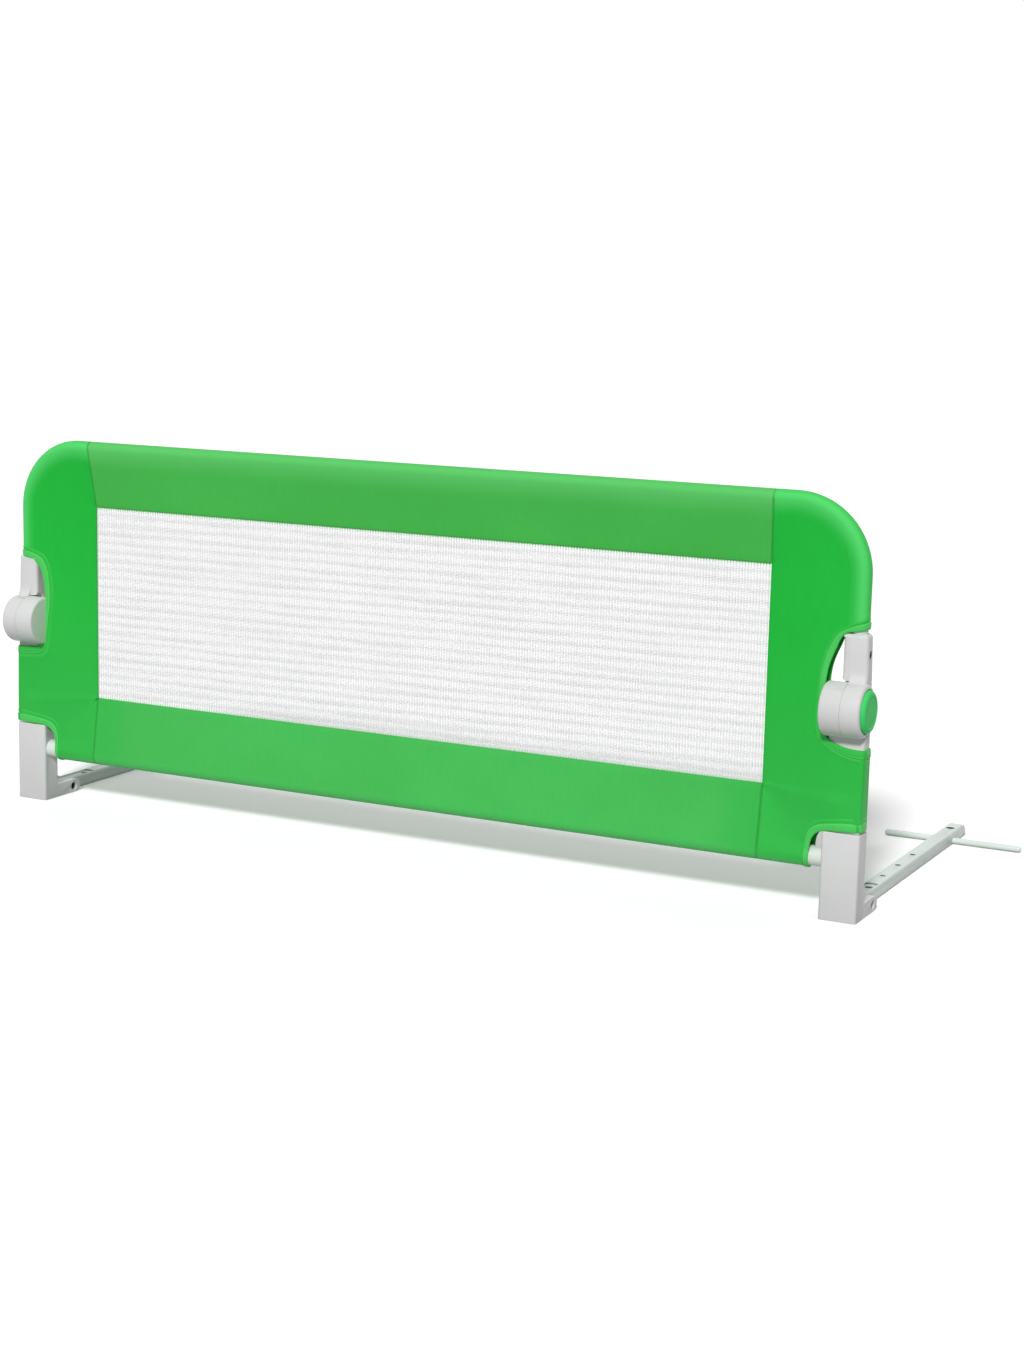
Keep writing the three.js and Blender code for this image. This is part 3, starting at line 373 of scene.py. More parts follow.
whitePlastic = mouldedPlastic("moulded_white", colour(223, 224, 223), colour(217, 217, 217), 0.42, 0.05)
greenPlastic = mouldedPlastic("moulded_green", colour(74, 219, 117), colour(65, 208, 106), 0.44, 0.04, 0.06)
whitePaint = powderCoat("powder_white", colour(226, 236, 230), colour(219, 229, 223))
zinc = plated("plated_steel", colour(150, 152, 156), colour(196, 198, 200))
# The steel of the socket screw and the rivet is dark to paint the shade of the recesses they sit in
shadeDarkSteel = plated("steel_dark_for_shade", colour(22, 23, 24), colour(34, 35, 37))
tapeCloth = ribbedTape("binding_tape", colour(66, 205, 86), colour(29, 189, 60))
threadCloth = mouldedPlastic("sewing_thread", colour(120, 224, 138), colour(96, 206, 114), 0.7, 0.05, 0.1)
netCloth = openNet("window_net")

# The pale and dark threads of each cloth, and the colour of the highlight painted on it over a tube
clothColours = {
    "side": ((31, 195, 65), (24, 184, 56), (88, 223, 113)),
    "top": ((73, 193, 81), (66, 183, 74), (94, 205, 105)),
    "bottom": ((74, 196, 91), (67, 186, 83), (90, 215, 110)),
}
cloths = {}
for part, colours in clothColours.items():
    cloths[part] = wovenCloth(part + "_cloth", *(colour(*levels) for levels in colours))
print("materials made")


# 1 for the rays that show the surroundings: straight to the camera, in a mirror or through glass
def viewRay(tree):
    path = addNode(tree, "ShaderNodeLightPath")
    shown = Wire(tree, path.outputs["Is Camera Ray"])
    for name in ("Is Glossy Ray", "Is Transmission Ray"):
        shown = shown.maths("MAXIMUM", Wire(tree, path.outputs[name]))
    return shown


# The floor is white with the rail's shadow where it is seen, and grey card to all other rays
floorSheet = {
    "size": 40,  # metres
    "drop": 0.2,
    "white": (1.25, 1.245, 1.25, 1),
    "card": colour(178, 178, 178),
}


def makeSurroundings():
    f = floorSheet
    bpy.ops.mesh.primitive_plane_add(size=f["size"], location=(0, 0, -f["drop"] * mm))
    floor = bpy.context.object
    floor.name = "floor"
    finish = Finish("floor")
    finish.set(Base_Color=f["card"], Roughness=0.9, Specular_IOR_Level=0.1)
    seen = viewRay(finish.tree)
    white = finish.node("ShaderNodeBsdfDiffuse", {}, {"Color": f["white"]})
    card = Wire(finish.tree, finish.shader.outputs[0])
    whole = finish.node("ShaderNodeMixShader", {}, {0: seen, 1: card, 2: white})
    plug(finish.tree, finish.tree.nodes["Material Output"].inputs[0], whole)
    floor.data.materials.append(finish.material)
    world = bpy.data.worlds.new("studio")
    scene.world = world
    world.use_nodes = True
    tree = world.node_tree
    back = tree.nodes["Background"]
    coordinates = addNode(tree, "ShaderNodeTexCoord")
    generated = Wire(tree, coordinates.outputs["Generated"])
    axes = addNode(tree, "ShaderNodeSeparateXYZ", {}, {0: generated})
    height = Wire(tree, axes.outputs["Z"])
    rear = Wire(tree, axes.outputs["Y"]).maths("MAXIMUM", 0)
    glow = height * height * light["above"] + rear * rear * light["behind"] + light["around"]
    plug(tree, back.inputs["Color"], (1, 1, 1, 1))
    plug(tree, back.inputs["Strength"], glow.maths("MAXIMUM", viewRay(tree)))


makeSurroundings()


# Modelling helpers
def only(piece):
    bpy.ops.object.select_all(action="DESELECT")
    piece.select_set(True)
    bpy.context.view_layer.objects.active = piece


def settle(name):
    piece = bpy.context.object
    piece.name = piece.data.name = name
    bpy.ops.object.transform_apply(location=True, rotation=True, scale=True)
    return piece


def addBlock(name, x, y, z):
    bpy.ops.object.select_all(action="DESELECT")
    middle = place((x[0] + x[1]) / 2, (y[0] + y[1]) / 2, (z[0] + z[1]) / 2)
    bpy.ops.mesh.primitive_cube_add(size=1, location=middle)
    bpy.context.object.scale = ((x[1] - x[0]) * mm, (y[1] - y[0]) * mm, (z[1] - z[0]) * mm)
    return settle(name)


def addRod(name, start, end, radius, sides=48):
    bpy.ops.object.select_all(action="DESELECT")
    low, high = place(*start), place(*end)
    bpy.ops.mesh.primitive_cylinder_add(
        vertices=sides, radius=radius * mm, depth=(high - low).length, location=(low + high) / 2
    )
    bpy.context.object.rotation_euler = (high - low).to_track_quat("Z", "Y").to_euler()
    return settle(name)


def rodAlongX(name, x0, x1, y, z, radius, sides=48):
    return addRod(name, (x0, y, z), (x1, y, z), radius, sides)


# A plate drawn point by point, then pulled along one axis
def addPrism(name, points, pull):
    bpy.ops.object.select_all(action="DESELECT")
    bpy.ops.mesh.primitive_circle_add(vertices=len(points), radius=1, fill_type="NGON")
    piece = bpy.context.object
    for vertex, point in zip(piece.data.vertices, points):
        vertex.co = place(*point)
    bpy.ops.object.mode_set(mode="EDIT")
    bpy.ops.mesh.select_all(action="SELECT")
    bpy.ops.mesh.extrude_region_move(TRANSFORM_OT_translate={"value": Vector(pull) * mm})
    bpy.ops.mesh.select_all(action="SELECT")
    bpy.ops.mesh.normals_make_consistent(inside=False)
    bpy.ops.object.mode_set(mode="OBJECT")
    return settle(name)


def pick(piece, kind, test):
    only(piece)
    bpy.ops.object.mode_set(mode="EDIT")
    bpy.ops.mesh.select_mode(type=kind)
    bpy.ops.mesh.select_all(action="DESELECT")
    bpy.ops.object.mode_set(mode="OBJECT")
    mesh = piece.data
    if kind == "FACE":
        for face in mesh.polygons:
            face.select = test(Vector(face.center), Vector(face.normal))
    else:
        for edge in mesh.edges:
            ends = [Vector(mesh.vertices[i].co) for i in edge.vertices]
            edge.select = test((ends[0] + ends[1]) / 2, (ends[1] - ends[0]).normalized())
    bpy.ops.object.mode_set(mode="EDIT")


def done():
    bpy.ops.object.mode_set(mode="OBJECT")


def isUpright(middle, way):
    return abs(way.z) > 0.9


def atX(x):
    return lambda middle, way: abs(middle.x - x * mm) < tiny


def roundEdges(piece, width, steps, test):
    pick(piece, "EDGE", test)
    bpy.ops.mesh.bevel(offset=width * mm, offset_type="OFFSET", segments=steps, affect="EDGES")
    done()


def applied(piece, kind, **settings):
    only(piece)
    modifier = piece.modifiers.new(kind.lower(), kind)
    for name, value in settings.items():
        setattr(modifier, name, value)
    bpy.ops.object.modifier_apply(modifier=modifier.name)
    return piece


def combine(piece, tools, operation):
    for tool in tools:
        applied(piece, "BOOLEAN", object=tool, operation=operation, solver="EXACT")
        bpy.data.objects.remove(tool)
    return piece


def cutAway(piece, *tools):
    return combine(piece, tools, "DIFFERENCE")


def fuse(piece, *tools):
    return combine(piece, tools, "UNION")


def easeEdges(piece, width, steps=2, angle=35):
    return applied(
        piece,
        "BEVEL",
        width=width * mm,
        segments=steps,
        limit_method="ANGLE",
        angle_limit=math.radians(angle),
        use_clamp_overlap=True,
    )


def finishPiece(piece, material, smoothAngle=35):
    piece.data.materials.clear()
    piece.data.materials.append(material)
    only(piece)
    if smoothAngle:
        bpy.ops.object.shade_smooth_by_angle(angle=math.radians(smoothAngle))
    return piece


def mirrored(piece, name):
    twin = piece.copy()
    twin.data = piece.data.copy()
    twin.name = twin.data.name = name
    scene.collection.objects.link(twin)
    twin.data.transform(Matrix.Scale(-1, 4, (1, 0, 0)))
    twin.data.flip_normals()
    return twin


# Each rigid piece is modelled once, for the right side, and mirrored for the left. Its name is
# that of the node that it replaces, with _body at the end.
def rigidPair(piece, material, body, smoothAngle=35):
    finishPiece(piece, material, smoothAngle)
    pair = {"right": piece, "left": mirrored(piece, piece.name.replace("_right", "_left"))}
    for side, made in pair.items():
        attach(made, body.format(side))
        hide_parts(made.name.removesuffix("_body"))
    return pair


# Foot
foot = {
    "x": (465, 503.5),
    "y": (-12.5, 12),
    "height": 87.6,
    "cornerRound": 3,
    "topRound": 1.2,
    "ears": ((465, 475.7), (492.8, 503.5)),
    "earRoot": 6,  # how far an ear starts inside the block
    "earBack": 52,
    "earHeight": 15,
    "earRound": 7.45,
    "pivot": (40, 7.2),  # y and z
    "rivetSeat": (4.9, 3.2),  # radius and depth
    "rivetHole": 3.3,
    "tubeBore": (10.3, 59.3, 487),  # radius, height, end
    "tenonRoom": ((470.1, 498.4), (-7.4, 3.8), (71.7, 90)),
    "screwSeats": ((476, 13, 10.6, 59.3), (484.25, 9, 6.6, 83.4)),  # x, back, front, height
    "seatRadius": 3.9,
    "soleInset": (2.6, 1.2),  # width of the sole's rim and depth inside it
    "edge": 0.45,
}


def makeFoot():
    f = foot
    body = addBlock("foot_right_body", f["x"], f["y"], (0, f["height"]))
    roundEdges(body, f["cornerRound"], 6, isUpright)
    roundEdges(body, f["topRound"], 3, lambda middle, way: middle.z > f["height"] * mm - tiny)
    back = depth(f["earBack"]) - tiny
    ears = []
    for x in f["ears"]:
        ear = addBlock("ear", x, (f["y"][1] - f["earRoot"], f["earBack"]), (0, f["earHeight"]))
        roundEdges(ear, f["earRound"], 10, lambda middle, way: middle.y > back and abs(way.x) > 0.9)
        ears.append(ear)
    fuse(body, *ears)
    seats = []
    for x, start, end, height in f["screwSeats"]:
        seats.append(addRod("screwSeat", (x, start, height), (x, end, height), f["seatRadius"], 32))
    y, z = f["pivot"]
    radius, seatDepth = f["rivetSeat"]
    low, high = f["x"]
    outside, inside = high + overrun, low - overrun
    bore, boreHeight, boreEnd = f["tubeBore"]
    cutAway(
        body,
        rodAlongX("seat", high - seatDepth, outside, y, z, radius),
        rodAlongX("seat", inside, low + seatDepth, y, z, radius),
        rodAlongX("hole", inside, outside, y, z, f["rivetHole"], 32),
        rodAlongX("bore", inside, boreEnd, 0, boreHeight, bore),
        addBlock("tenonRoom", *f["tenonRoom"]),
        *seats,
    )
    inset, rise = f["soleInset"]
    pick(body, "FACE", lambda middle, normal: normal.z < -0.9 and middle.z < 0.1 * mm)
    bpy.ops.mesh.inset(thickness=inset * mm, depth=-rise * mm)
    done()
    easeEdges(body, f["edge"], 2, 40)
    rigidPair(body, whitePlastic, "base")


# Hinge: the half of the barrel on the post, and the half on the arm
hinge = {
    "axisY": -11.2,
    "axisZ": 208,
    "radius": 26.3,
    "rim": 2.4,
    "inner": (463.5, 485.1),
    "outer": (485.35, 502),
    "post": (465.9, 502.6),
    "postFront": (-11.6, -8.9),  # at the foot and at the axis
    "postBack": 8,
    "postFoot": 88.3,
    "postRound": 2.5,
    "tenonGap": 0.3,  # to the room in the foot
    "running": 1,
    "armX": (476.8, 500.8),
    "armY": (-8.8, 8.8),
    "armTop": 281,
    "armRound": (4.4, 4),  # outside, and inside above the barrel
    "innerRound": 24,  # the inside is rounded from here up, above the axis
    "faceDepth": 3,  # how deep edges count as the outer face's
    "stemRoom": (-60, 40, 200, 290),  # front, back, low and high of the cuts beside the stem
    "fillet": 11,
    "heel": 4,
    # parts round the axis: start, end and radius
    "bore": (467.2, 489, 17.7),
    "collar": (496, 504.4, 26.15),
    "pocket": (493.6, 506, 21.9),
    "gearRoom": (480, 489.3, 17.8),
    "boltRoom": (486, 496, 5.9),
    "legSlots": (486, 496, 3.596),
    "collarRound": 3.5,
    "legs": 10,  # distance of the button's legs from the axis
    "socket": (490.3, 243, 290, 7.8),  # x, low, high, radius
    "screwSeat": (499.6, 504, 260.5, 4.2),  # start, end, height, radius
    "edge": 0.22,
}


def hingeRod(name, x0, x1, radius, sides=96):
    return rodAlongX(name, x0, x1, hinge["axisY"], hinge["axisZ"], radius, sides)


# Three rods round the axis, for the button's legs and their slots
def legRods(name, x0, x1, radius, sides):
    rods = []
    for i in range(3):
        angle = math.radians(120 * i)
        y = hinge["axisY"] - hinge["legs"] * math.sin(angle)
        z = hinge["axisZ"] + hinge["legs"] * math.cos(angle)
        rods.append(rodAlongX(name, x0, x1, y, z, radius, sides))
    return rods


def makePost():
    h = hinge
    x0, x1 = h["inner"]
    barrel = hingeRod("hinge_post_right_body", x0, x1, h["radius"])
    roundEdges(barrel, h["rim"], 5, atX(x0))
    low, high = h["postFoot"], h["axisZ"]
    front, frontAtAxis = h["postFront"]
    upright = addBlock("upright", h["post"], (front, h["postBack"]), (low, high))

    def topFront(middle, way):
        return middle.z > high * mm - tiny and middle.y < tubePlane and abs(way.x) > 0.9

    pick(upright, "EDGE", topFront)
    bpy.ops.transform.translate(value=(0, (frontAtAxis - front) * mm, 0))
    done()
    roundEdges(upright, h["postRound"], 5, isUpright)
    cutAway(upright, hingeRod("sweep", x1, h["pocket"][1], h["radius"] + h["running"]))
    gap = h["tenonGap"]
    x, y, z = foot["tenonRoom"]
    tenonTop = low + overrun
    tenon = addBlock("tenon", (x[0] + gap, x[1] - gap), (y[0] + gap, y[1] - gap), (z[0] + gap, tenonTop))
    fuse(upright, tenon)
    fuse(barrel, upright)
    cutAway(barrel, hingeRod("bore", *h["bore"], 64))
    easeEdges(barrel, h["edge"], 2, 45)
    rigidPair(barrel, whitePlastic, "base")


# Points on the curve from a to c that b pulls aside
def pulledCurve(a, b, c, steps):
    made = []
    for i in range(steps + 1):
        t = i / steps
        made.append(tuple((1 - t) ** 2 * u + 2 * t * (1 - t) * v + t**2 * w for u, v, w in zip(a, b, c)))
    return made


# Side outline of the arm: up the back, over the top, down the front and round the barrel
def armOutline():
    h = hinge
    y0, z0, radius = h["axisY"], h["axisZ"], h["radius"]
    front, back = h["armY"]
    top = h["armTop"]
    heelY = back + h["heel"]
    heelZ = z0 + math.sqrt(radius**2 - (heelY - y0) ** 2)
    noseY = front - h["fillet"]
    noseZ = z0 + math.sqrt(radius**2 - (noseY - y0) ** 2)
    backStart = z0 + radius + h["fillet"] * 0.4
    points = pulledCurve((heelY, heelZ), (back, heelZ + h["heel"] * 1.2), (back, backStart), 6)
    points += [(back, top), (front, top)]
    frontStart = z0 + radius + h["fillet"]
    points += pulledCurve((front, frontStart), (front, z0 + radius - 0.4), (noseY, noseZ), 8)
    start = math.atan2(noseZ - z0, noseY - y0)
    end = math.atan2(heelZ - z0, heelY - y0) + 2 * math.pi
    steps = 64
    for i in range(1, steps):
        angle = mix(start, end, i / steps)
        points.append((y0 + radius * math.cos(angle), z0 + radius * math.sin(angle)))
    return points


def makeArm():
    h = hinge
    x0, x1 = h["armX"][0], h["outer"][1]
    arm = addPrism("hinge_arm_right_body", [(x0, y, z) for y, z in armOutline()], (x1 - x0, 0, 0))
    topZ = h["armTop"] * mm - tiny
    pick(arm, "EDGE", lambda middle, way: middle.z > topZ and abs(middle.x - x1 * mm) < tiny)
    bpy.ops.transform.translate(value=((h["armX"][1] - x1) * mm, 0, 0))
    done()
    outerFace = (x1 - h["faceDepth"]) * mm
    innerLow = (h["axisZ"] + h["innerRound"]) * mm

    def outerEdges(middle, way):
        return middle.z > topZ or middle.x > outerFace and abs(way.x) < 0.5

    def innerEdges(middle, way):
        return abs(middle.x - x0 * mm) < tiny and middle.z > innerLow

    roundEdges(arm, h["armRound"][0], 5, outerEdges)
    parting = h["outer"][0]
    inside = (x0 - overrun, parting)
    front, back, low, high = h["stemRoom"]
    cutAway(
        arm,
        hingeRod("sweep", x0 - overrun, parting - 0.2, h["radius"] + h["running"]),
        addBlock("frontRoom", inside, (front, h["armY"][0]), (low, high)),
        addBlock("backRoom", inside, (h["armY"][1], back), (low, high)),
        hingeRod("parting", *inside, h["radius"] + h["rim"] * 0.2),
    )
    roundEdges(arm, h["armRound"][1], 4, innerEdges)
    collar = hingeRod("collar", *h["collar"])
    roundEdges(collar, h["collarRound"], 6, atX(h["collar"][1]))
    fuse(arm, collar)
    x, low, high, socket = h["socket"]
    start, end, z, seat = h["screwSeat"]
    cutAway(
        arm,
        hingeRod("pocket", *h["pocket"], 96),
        hingeRod("gearRoom", *h["gearRoom"], 64),
        hingeRod("boltRoom", *h["boltRoom"], 32),
        addRod("socket", (x, 0, low), (x, 0, high), socket, 48),
        rodAlongX("screwSeat", start, end, 0, z, seat, 40),
        *legRods("slot", *h["legSlots"], 24),
    )
    easeEdges(arm, h["edge"], 2, 50)
    rigidPair(arm, whitePlastic, "upper_frame")


# Push button: a hollow domed cap with a soft rim, and three legs
button = {
    "radius": 21,
    "x": (497.5, 509.4),
    "hollow": (505.8, 18.8),  # end and radius
    "rim": 4.4,
    "lip": (0.7, 0.9, 0.7),  # width of the lip, width and depth of the step inside it
    "dome": 0.5,
    "rings": ((4, 0.7), (5, 0.3)),  # widths of the dome's rings and their shares of its rise
    "legs": (489, 2.5),  # end and radius
    "edge": 0.3,
}


def makeButton():
    b = button
    x0, x1 = b["x"]
    cap = hingeRod("release_button_right_body", x0, x1 - b["dome"], b["radius"])
    crown = (x1 - b["dome"]) * mm
    roundEdges(cap, b["rim"], 6, lambda middle, way: abs(middle.x - crown) < tiny)
    pick(cap, "FACE", lambda middle, normal: normal.x > 0.99 and abs(middle.x - crown) < tiny)
    lip, step, drop = b["lip"]
    bpy.ops.mesh.inset(thickness=lip * mm, depth=0)
    bpy.ops.mesh.inset(thickness=step * mm, depth=-drop * mm)
    for width, share in b["rings"]:
        bpy.ops.mesh.inset(thickness=width * mm, depth=b["dome"] * share * mm)
    done()
    hollowEnd, hollow = b["hollow"]
    cutAway(cap, hingeRod("hollow", x0 - 1, hollowEnd, hollow))
    legEnd, leg = b["legs"]
    fuse(cap, *legRods("leg", legEnd, hollowEnd + 1, leg, 20))
    easeEdges(cap, b["edge"], 2, 60)
    rigidPair(cap, greenPlastic, "button_{}")


# Return spring behind the gear.
spring = {"turns": 4, "steps": 28, "radius": 8.4, "wire": 0.75, "travel": 3.5}


def makeSpring():
    s = spring
    low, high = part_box("lock_spring_right")
    start, end = low.x + s["wire"] * mm, high.x - s["wire"] * mm
    path = bpy.data.curves.new("lock_spring_right_body", "CURVE")
    path.dimensions = "3D"
    path.bevel_depth = s["wire"] * mm
    path.bevel_resolution = 3
    path.use_fill_caps = True
    line = path.splines.new("POLY")
    count = s["turns"] * s["steps"]
    line.points.add(count)
    for i in range(count + 1):
        angle = 2 * math.pi * i / s["steps"]
        y, z = s["radius"] * math.cos(angle), s["radius"] * math.sin(angle)
        spot = place(0, hinge["axisY"] + y, hinge["axisZ"] + z)
        line.points[i].co = (mix(start, end, i / count), spot.y, spot.z, 1)
    coil = addObject(path.name, path)
    only(coil)
    bpy.ops.object.convert(target="MESH")
    for side, made in rigidPair(coil, zinc, "base", 60).items():
        low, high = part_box("lock_spring_" + side)
        fixedEnd = low if side == "right" else high
        "gear_" + side + "_slide"
        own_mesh(made)


# Screw in the side of the arm's socket
screw = {
    "height": 260.5,
    "head": (499.8, 501.1, 3.8),  # start, end, radius
    "headRound": 0.4,
    "shank": (492, 500, 1.8),
    "cross": (500.4, 502, 2.2, 0.4),  # floor, end, half length and half width
}


def makeSocketScrew():
    s = screw
    z = s["height"]
    start, end, radius = s["head"]
    head = rodAlongX("socket_screw_right_body", start, end, 0, z, radius, 40)
    roundEdges(head, s["headRound"], 3, atX(end))
    start, end, radius = s["shank"]
    fuse(head, rodAlongX("shank", start, end, 0, z, radius, 24))
    start, end, length, width = s["cross"]
    for y, rise in ((length, width), (width, length)):
        cutAway(head, addBlock("slot", (start, end), (-y, y), (z - rise, z + rise)))
    # painted shade: the screw's dark steel stands for the shade of its recess
    rigidPair(head, shadeDarkSteel, "upper_frame")


# Rivet of the arm under the mattress, with a head at both ends
rivet = {
    "shank": (467.9, 500.6, 3),  # start, end, radius
    "heads": ((499.9, 501.7, 501.7), (466.8, 468.6, 466.8)),  # start, end and outer face
    "headRadius": 3.7,
    "headRound": 0.8,
    "driveHoles": ((500.4, 504), (464, 468.1)),
    "driveRadius": 2,
}


def makePivotRivet():
    r = rivet
    y, z = foot["pivot"]
    start, end, radius = r["shank"]
    shank = rodAlongX("pivot_rivet_right_body", start, end, y, z, radius, 32)
    for start, end, outer in r["heads"]:
        head = rodAlongX("head", start, end, y, z, r["headRadius"], 40)
        roundEdges(head, r["headRound"], 4, atX(outer))
        fuse(shank, head)
    for start, end in r["driveHoles"]:
        cutAway(shank, rodAlongX("driveHole", start, end, y, z, r["driveRadius"], 6))
    # painted shade: the rivet's dark steel stands for the shade of its recess
    rigidPair(shank, shadeDarkSteel, "arm_{}")


# Arms under the mattress: a pressed channel, a bracket inside it and a cross rod
arm = {
    "x": 484.25,
    "width": 16,
    "low": 0.8,
    "high": 13.8,
    "near": 33.8,
    "far": 402,
    "nose": 12.4,
    "nearRound": 6.2,
    "wall": 1.3,
    "topWall": 0.5,
    "press": (1.5, 0.6),  # rounding of the upper edges, outside and inside
    "nearCut": 6,  # how far the rooms inside run past the near end
    "opening": (96, 5, 20, 3),  # end, low, high and rounding of the open stretch at the near end
    "bigHole": 4.7,
    "smallHole": 3.1,
    "smallHoles": (129, 179.4, 229.8),
    "farHole": 368,
    "punch": (4, 2),  # how far a hole is cut below and above the top
    "pivotHole": 3.2,
    "halfCut": 12,  # half the length of a cut from side to side
    "rodY": 353.4,
    "rodRadius": 3.4,
    "rodPlay": 0.25,
    "rodRound": 3.196,
    "rod": (414.45, 568.05),
    "edge": 0.22,
}
bracket = {
    "gap": 0.3,  # to the channel
    "start": 1.2,  # from the channel's near end
    "end": 142,
    "endCut": 3,
    "press": 0.9,
    "nearHole": (84.5, 4.1),  # y and radius
    "firstHole": 4.7,  # radius, under the channel's first small hole
    "edge": 0.2,
}


def channelShape(name, inset, heights, ends, nose, press):
    a = arm
    half = a["width"] / 2 - inset
    low, high = heights
    near, far = ends
    piece = addBlock(name, (a["x"] - half, a["x"] + half), ends, heights)
    nearY, farY = depth(near) + tiny, depth(far) - tiny

    def noseEdge(middle, way):
        return middle.y > farY and abs(way.x) > 0.9 and middle.z > (high - 1) * mm

    def nearEdges(middle, way):
        return middle.y < nearY and abs(way.x) > 0.9

    def topEdges(middle, way):
        atSide = abs(abs(middle.x - a["x"] * mm) - half * mm) < tiny
        return atSide and middle.z > (high - a["nose"]) * mm and abs(way.z) < 0.98

    if nose:
        roundEdges(piece, nose, 8, noseEdge)
    roundEdges(piece, min(a["nearRound"], (high - low) / 2 - 0.1), 6, nearEdges)
    roundEdges(piece, press, 3, topEdges)
    return piece


def armHole(y, top, radius, sides=32):
    below, above = arm["punch"]
    return addRod("hole", (arm["x"], y, top - below), (arm["x"], y, top + above), radius, sides)


def sideToSide(name, y, z, radius):
    x, half = arm["x"], arm["halfCut"]
    return rodAlongX(name, x - half, x + half, y, z, radius, 32)


def makeChannel():
    a = arm
    x, near, far, high, wall = a["x"], a["near"], a["far"], a["high"], a["wall"]
    outerPress, innerPress = a["press"]
    heights = (a["low"], high)
    channel = channelShape("arm_channel_right_body", 0, heights, (near, far), a["nose"], outerPress)
    heights, ends = (-overrun, high - a["topWall"]), (near - a["nearCut"], far - wall)
    room = channelShape("room", wall, heights, ends, a["nose"] - wall, innerPress)
    half = a["width"] / 2 - wall
    openEnd, openLow, openHigh, openRound = a["opening"]
    opening = addBlock("opening", (x - half, x + half), (near - a["nearCut"], openEnd), (openLow, openHigh))
    back = depth(openEnd) - tiny
    roundEdges(opening, openRound, 5, lambda middle, way: middle.y > back and abs(way.z) > 0.9)
    holes = [armHole(y, high, a["smallHole"]) for y in a["smallHoles"]]
    holes.append(armHole(a["farHole"], high, a["bigHole"], 40))
    y, rodZ = a["rodY"], a["rodRadius"]
    grip = rodZ + a["rodPlay"]
    notch = sideToSide("notch", y, rodZ, grip)
    sides = (x - a["halfCut"], x + a["halfCut"])
    notchFoot = addBlock("notchFoot", sides, (y - grip, y + grip), (-overrun, rodZ))
    pivot = sideToSide("pivot", *foot["pivot"], a["pivotHole"])
    cutAway(channel, room, opening, notch, notchFoot, pivot, *holes)
    easeEdges(channel, a["edge"], 2, 40)
    rigidPair(channel, whitePaint, "arm_{}")


def makeBracket():
    a, b = arm, bracket
    inset = a["wall"] + b["gap"]
    top = a["high"] - inset
    heights, ends = (a["low"], top), (a["near"] + b["start"], b["end"])
    body = channelShape("arm_bracket_right_body", inset, heights, ends, 0, b["press"])
    half = a["width"] / 2 - inset - a["wall"]
    ends = (a["near"] - a["nearCut"], b["end"] + b["endCut"])
    room = addBlock("room", (a["x"] - half, a["x"] + half), ends, (-overrun, top - a["wall"]))
    nearHole, nearRadius = b["nearHole"]
    cutAway(
        body,
        room,
        armHole(nearHole, top, nearRadius, 40),
        armHole(a["smallHoles"][0], top, b["firstHole"]),
        sideToSide("pivot", *foot["pivot"], a["pivotHole"]),
    )
    easeEdges(body, b["edge"], 2, 40)
    rigidPair(body, whitePaint, "arm_{}")


def makeCrossRod():
    a = arm
    x0, x1 = a["rod"]
    y, radius = a["rodY"], a["rodRadius"]
    rod = rodAlongX("cross_rod_right_body", x0, x1, y, radius, radius)
    middleX = (x0 + x1) / 2 * mm
    endX = (x1 - x0) / 2 * mm
    roundEdges(rod, a["rodRound"], 7, lambda middle, way: abs(abs(middle.x - middleX) - endX) < tiny)
    rigidPair(rod, whitePaint, "arm_{}")


# Lower tube, from the foot to the middle of the rail
lowerTube = {"x": (0.15, 486.7), "radius": 10, "bore": 8.8, "boreX": (-3, 490)}


def makeBottomTube():
    t = lowerTube
    z = foot["tubeBore"][1]
    tube = rodAlongX("bottom_tube_right_body", *t["x"], 0, z, t["radius"], 64)
    cutAway(tube, rodAlongX("bore", *t["boreX"], 0, z, t["bore"]))
    rigidPair(tube, whitePaint, "base")


makeFoot()
makePost()
makeArm()
makeButton()
makeSpring()
makeSocketScrew()
makePivotRivet()
makeChannel()
makeBracket()
makeCrossRod()
makeBottomTube()
print("rigid pieces made")


# The cover. A section is a list of (reach, y) from the front seam round the core to the back seam,
# drawn in an upright plane that starts at the window's edge.
cover = {
    "windowHalf": 398.4,
    "windowLow": 124.4,
    "windowHigh": 339.7,
    "seamHalf": 1.7,
    "seamRoll": (0.6, 0.88),  # how the layers draw together at the two points beside the seam
    "seamShares": (0, 0.012, 0.03),  # closer points beside the seam
    "tubeLine": 490.3,
    "radius": 8.7,
    "topTube": 403.5,
    "bend": 68,
    "bottomTube": 59.3,
    "bottomRadius": 11.2,
    "postInner": 465.9,
    "postOuter": 503.8,
    "postFront": (12.8, 10.1),  # at the foot and at the fold
    "postBack": 9.2,
    "postRound": 3.4,
    "postFoot": 88,
    "postBelow": 40,  # how far below the window the lowest section round its corner meets the post
    "postToTube": (180, 280),  # the heights between which the cloth leaves the post for the tube
    "tubeFrom": 46,  # degrees; steeper sections round the window's corner end on the bottom tube
    "slant": {"left": 7.2, "right": 1.8},  # how far the top seam leans outwards
    "thickness": 0.9,
    "foldZ": 208,
    "bendHalf": 17.5,
    "flatSteps": 20,
    "wrapSteps": 16,
    "besideSeam": (0, 0.01, 0.02, 0.035),  # turns of the sections beside the lower seam, in radians
    "cornerRows": 24,
    "uprightRows": 46,
    "bendRows": 18,
    "topShares": (0.3, 0.6, 0.75, 0.85, 0.92, 0.96, 1),  # of the way from the bend to the top seam
    "leanTurns": (2, 88),  # degrees
    "easeFrom": 0.7,  # the share of the flat cloth where its lean starts to ease
}
spread = cover["flatSteps"] - len(cover["seamShares"])
lastShare = cover["seamShares"][-1]
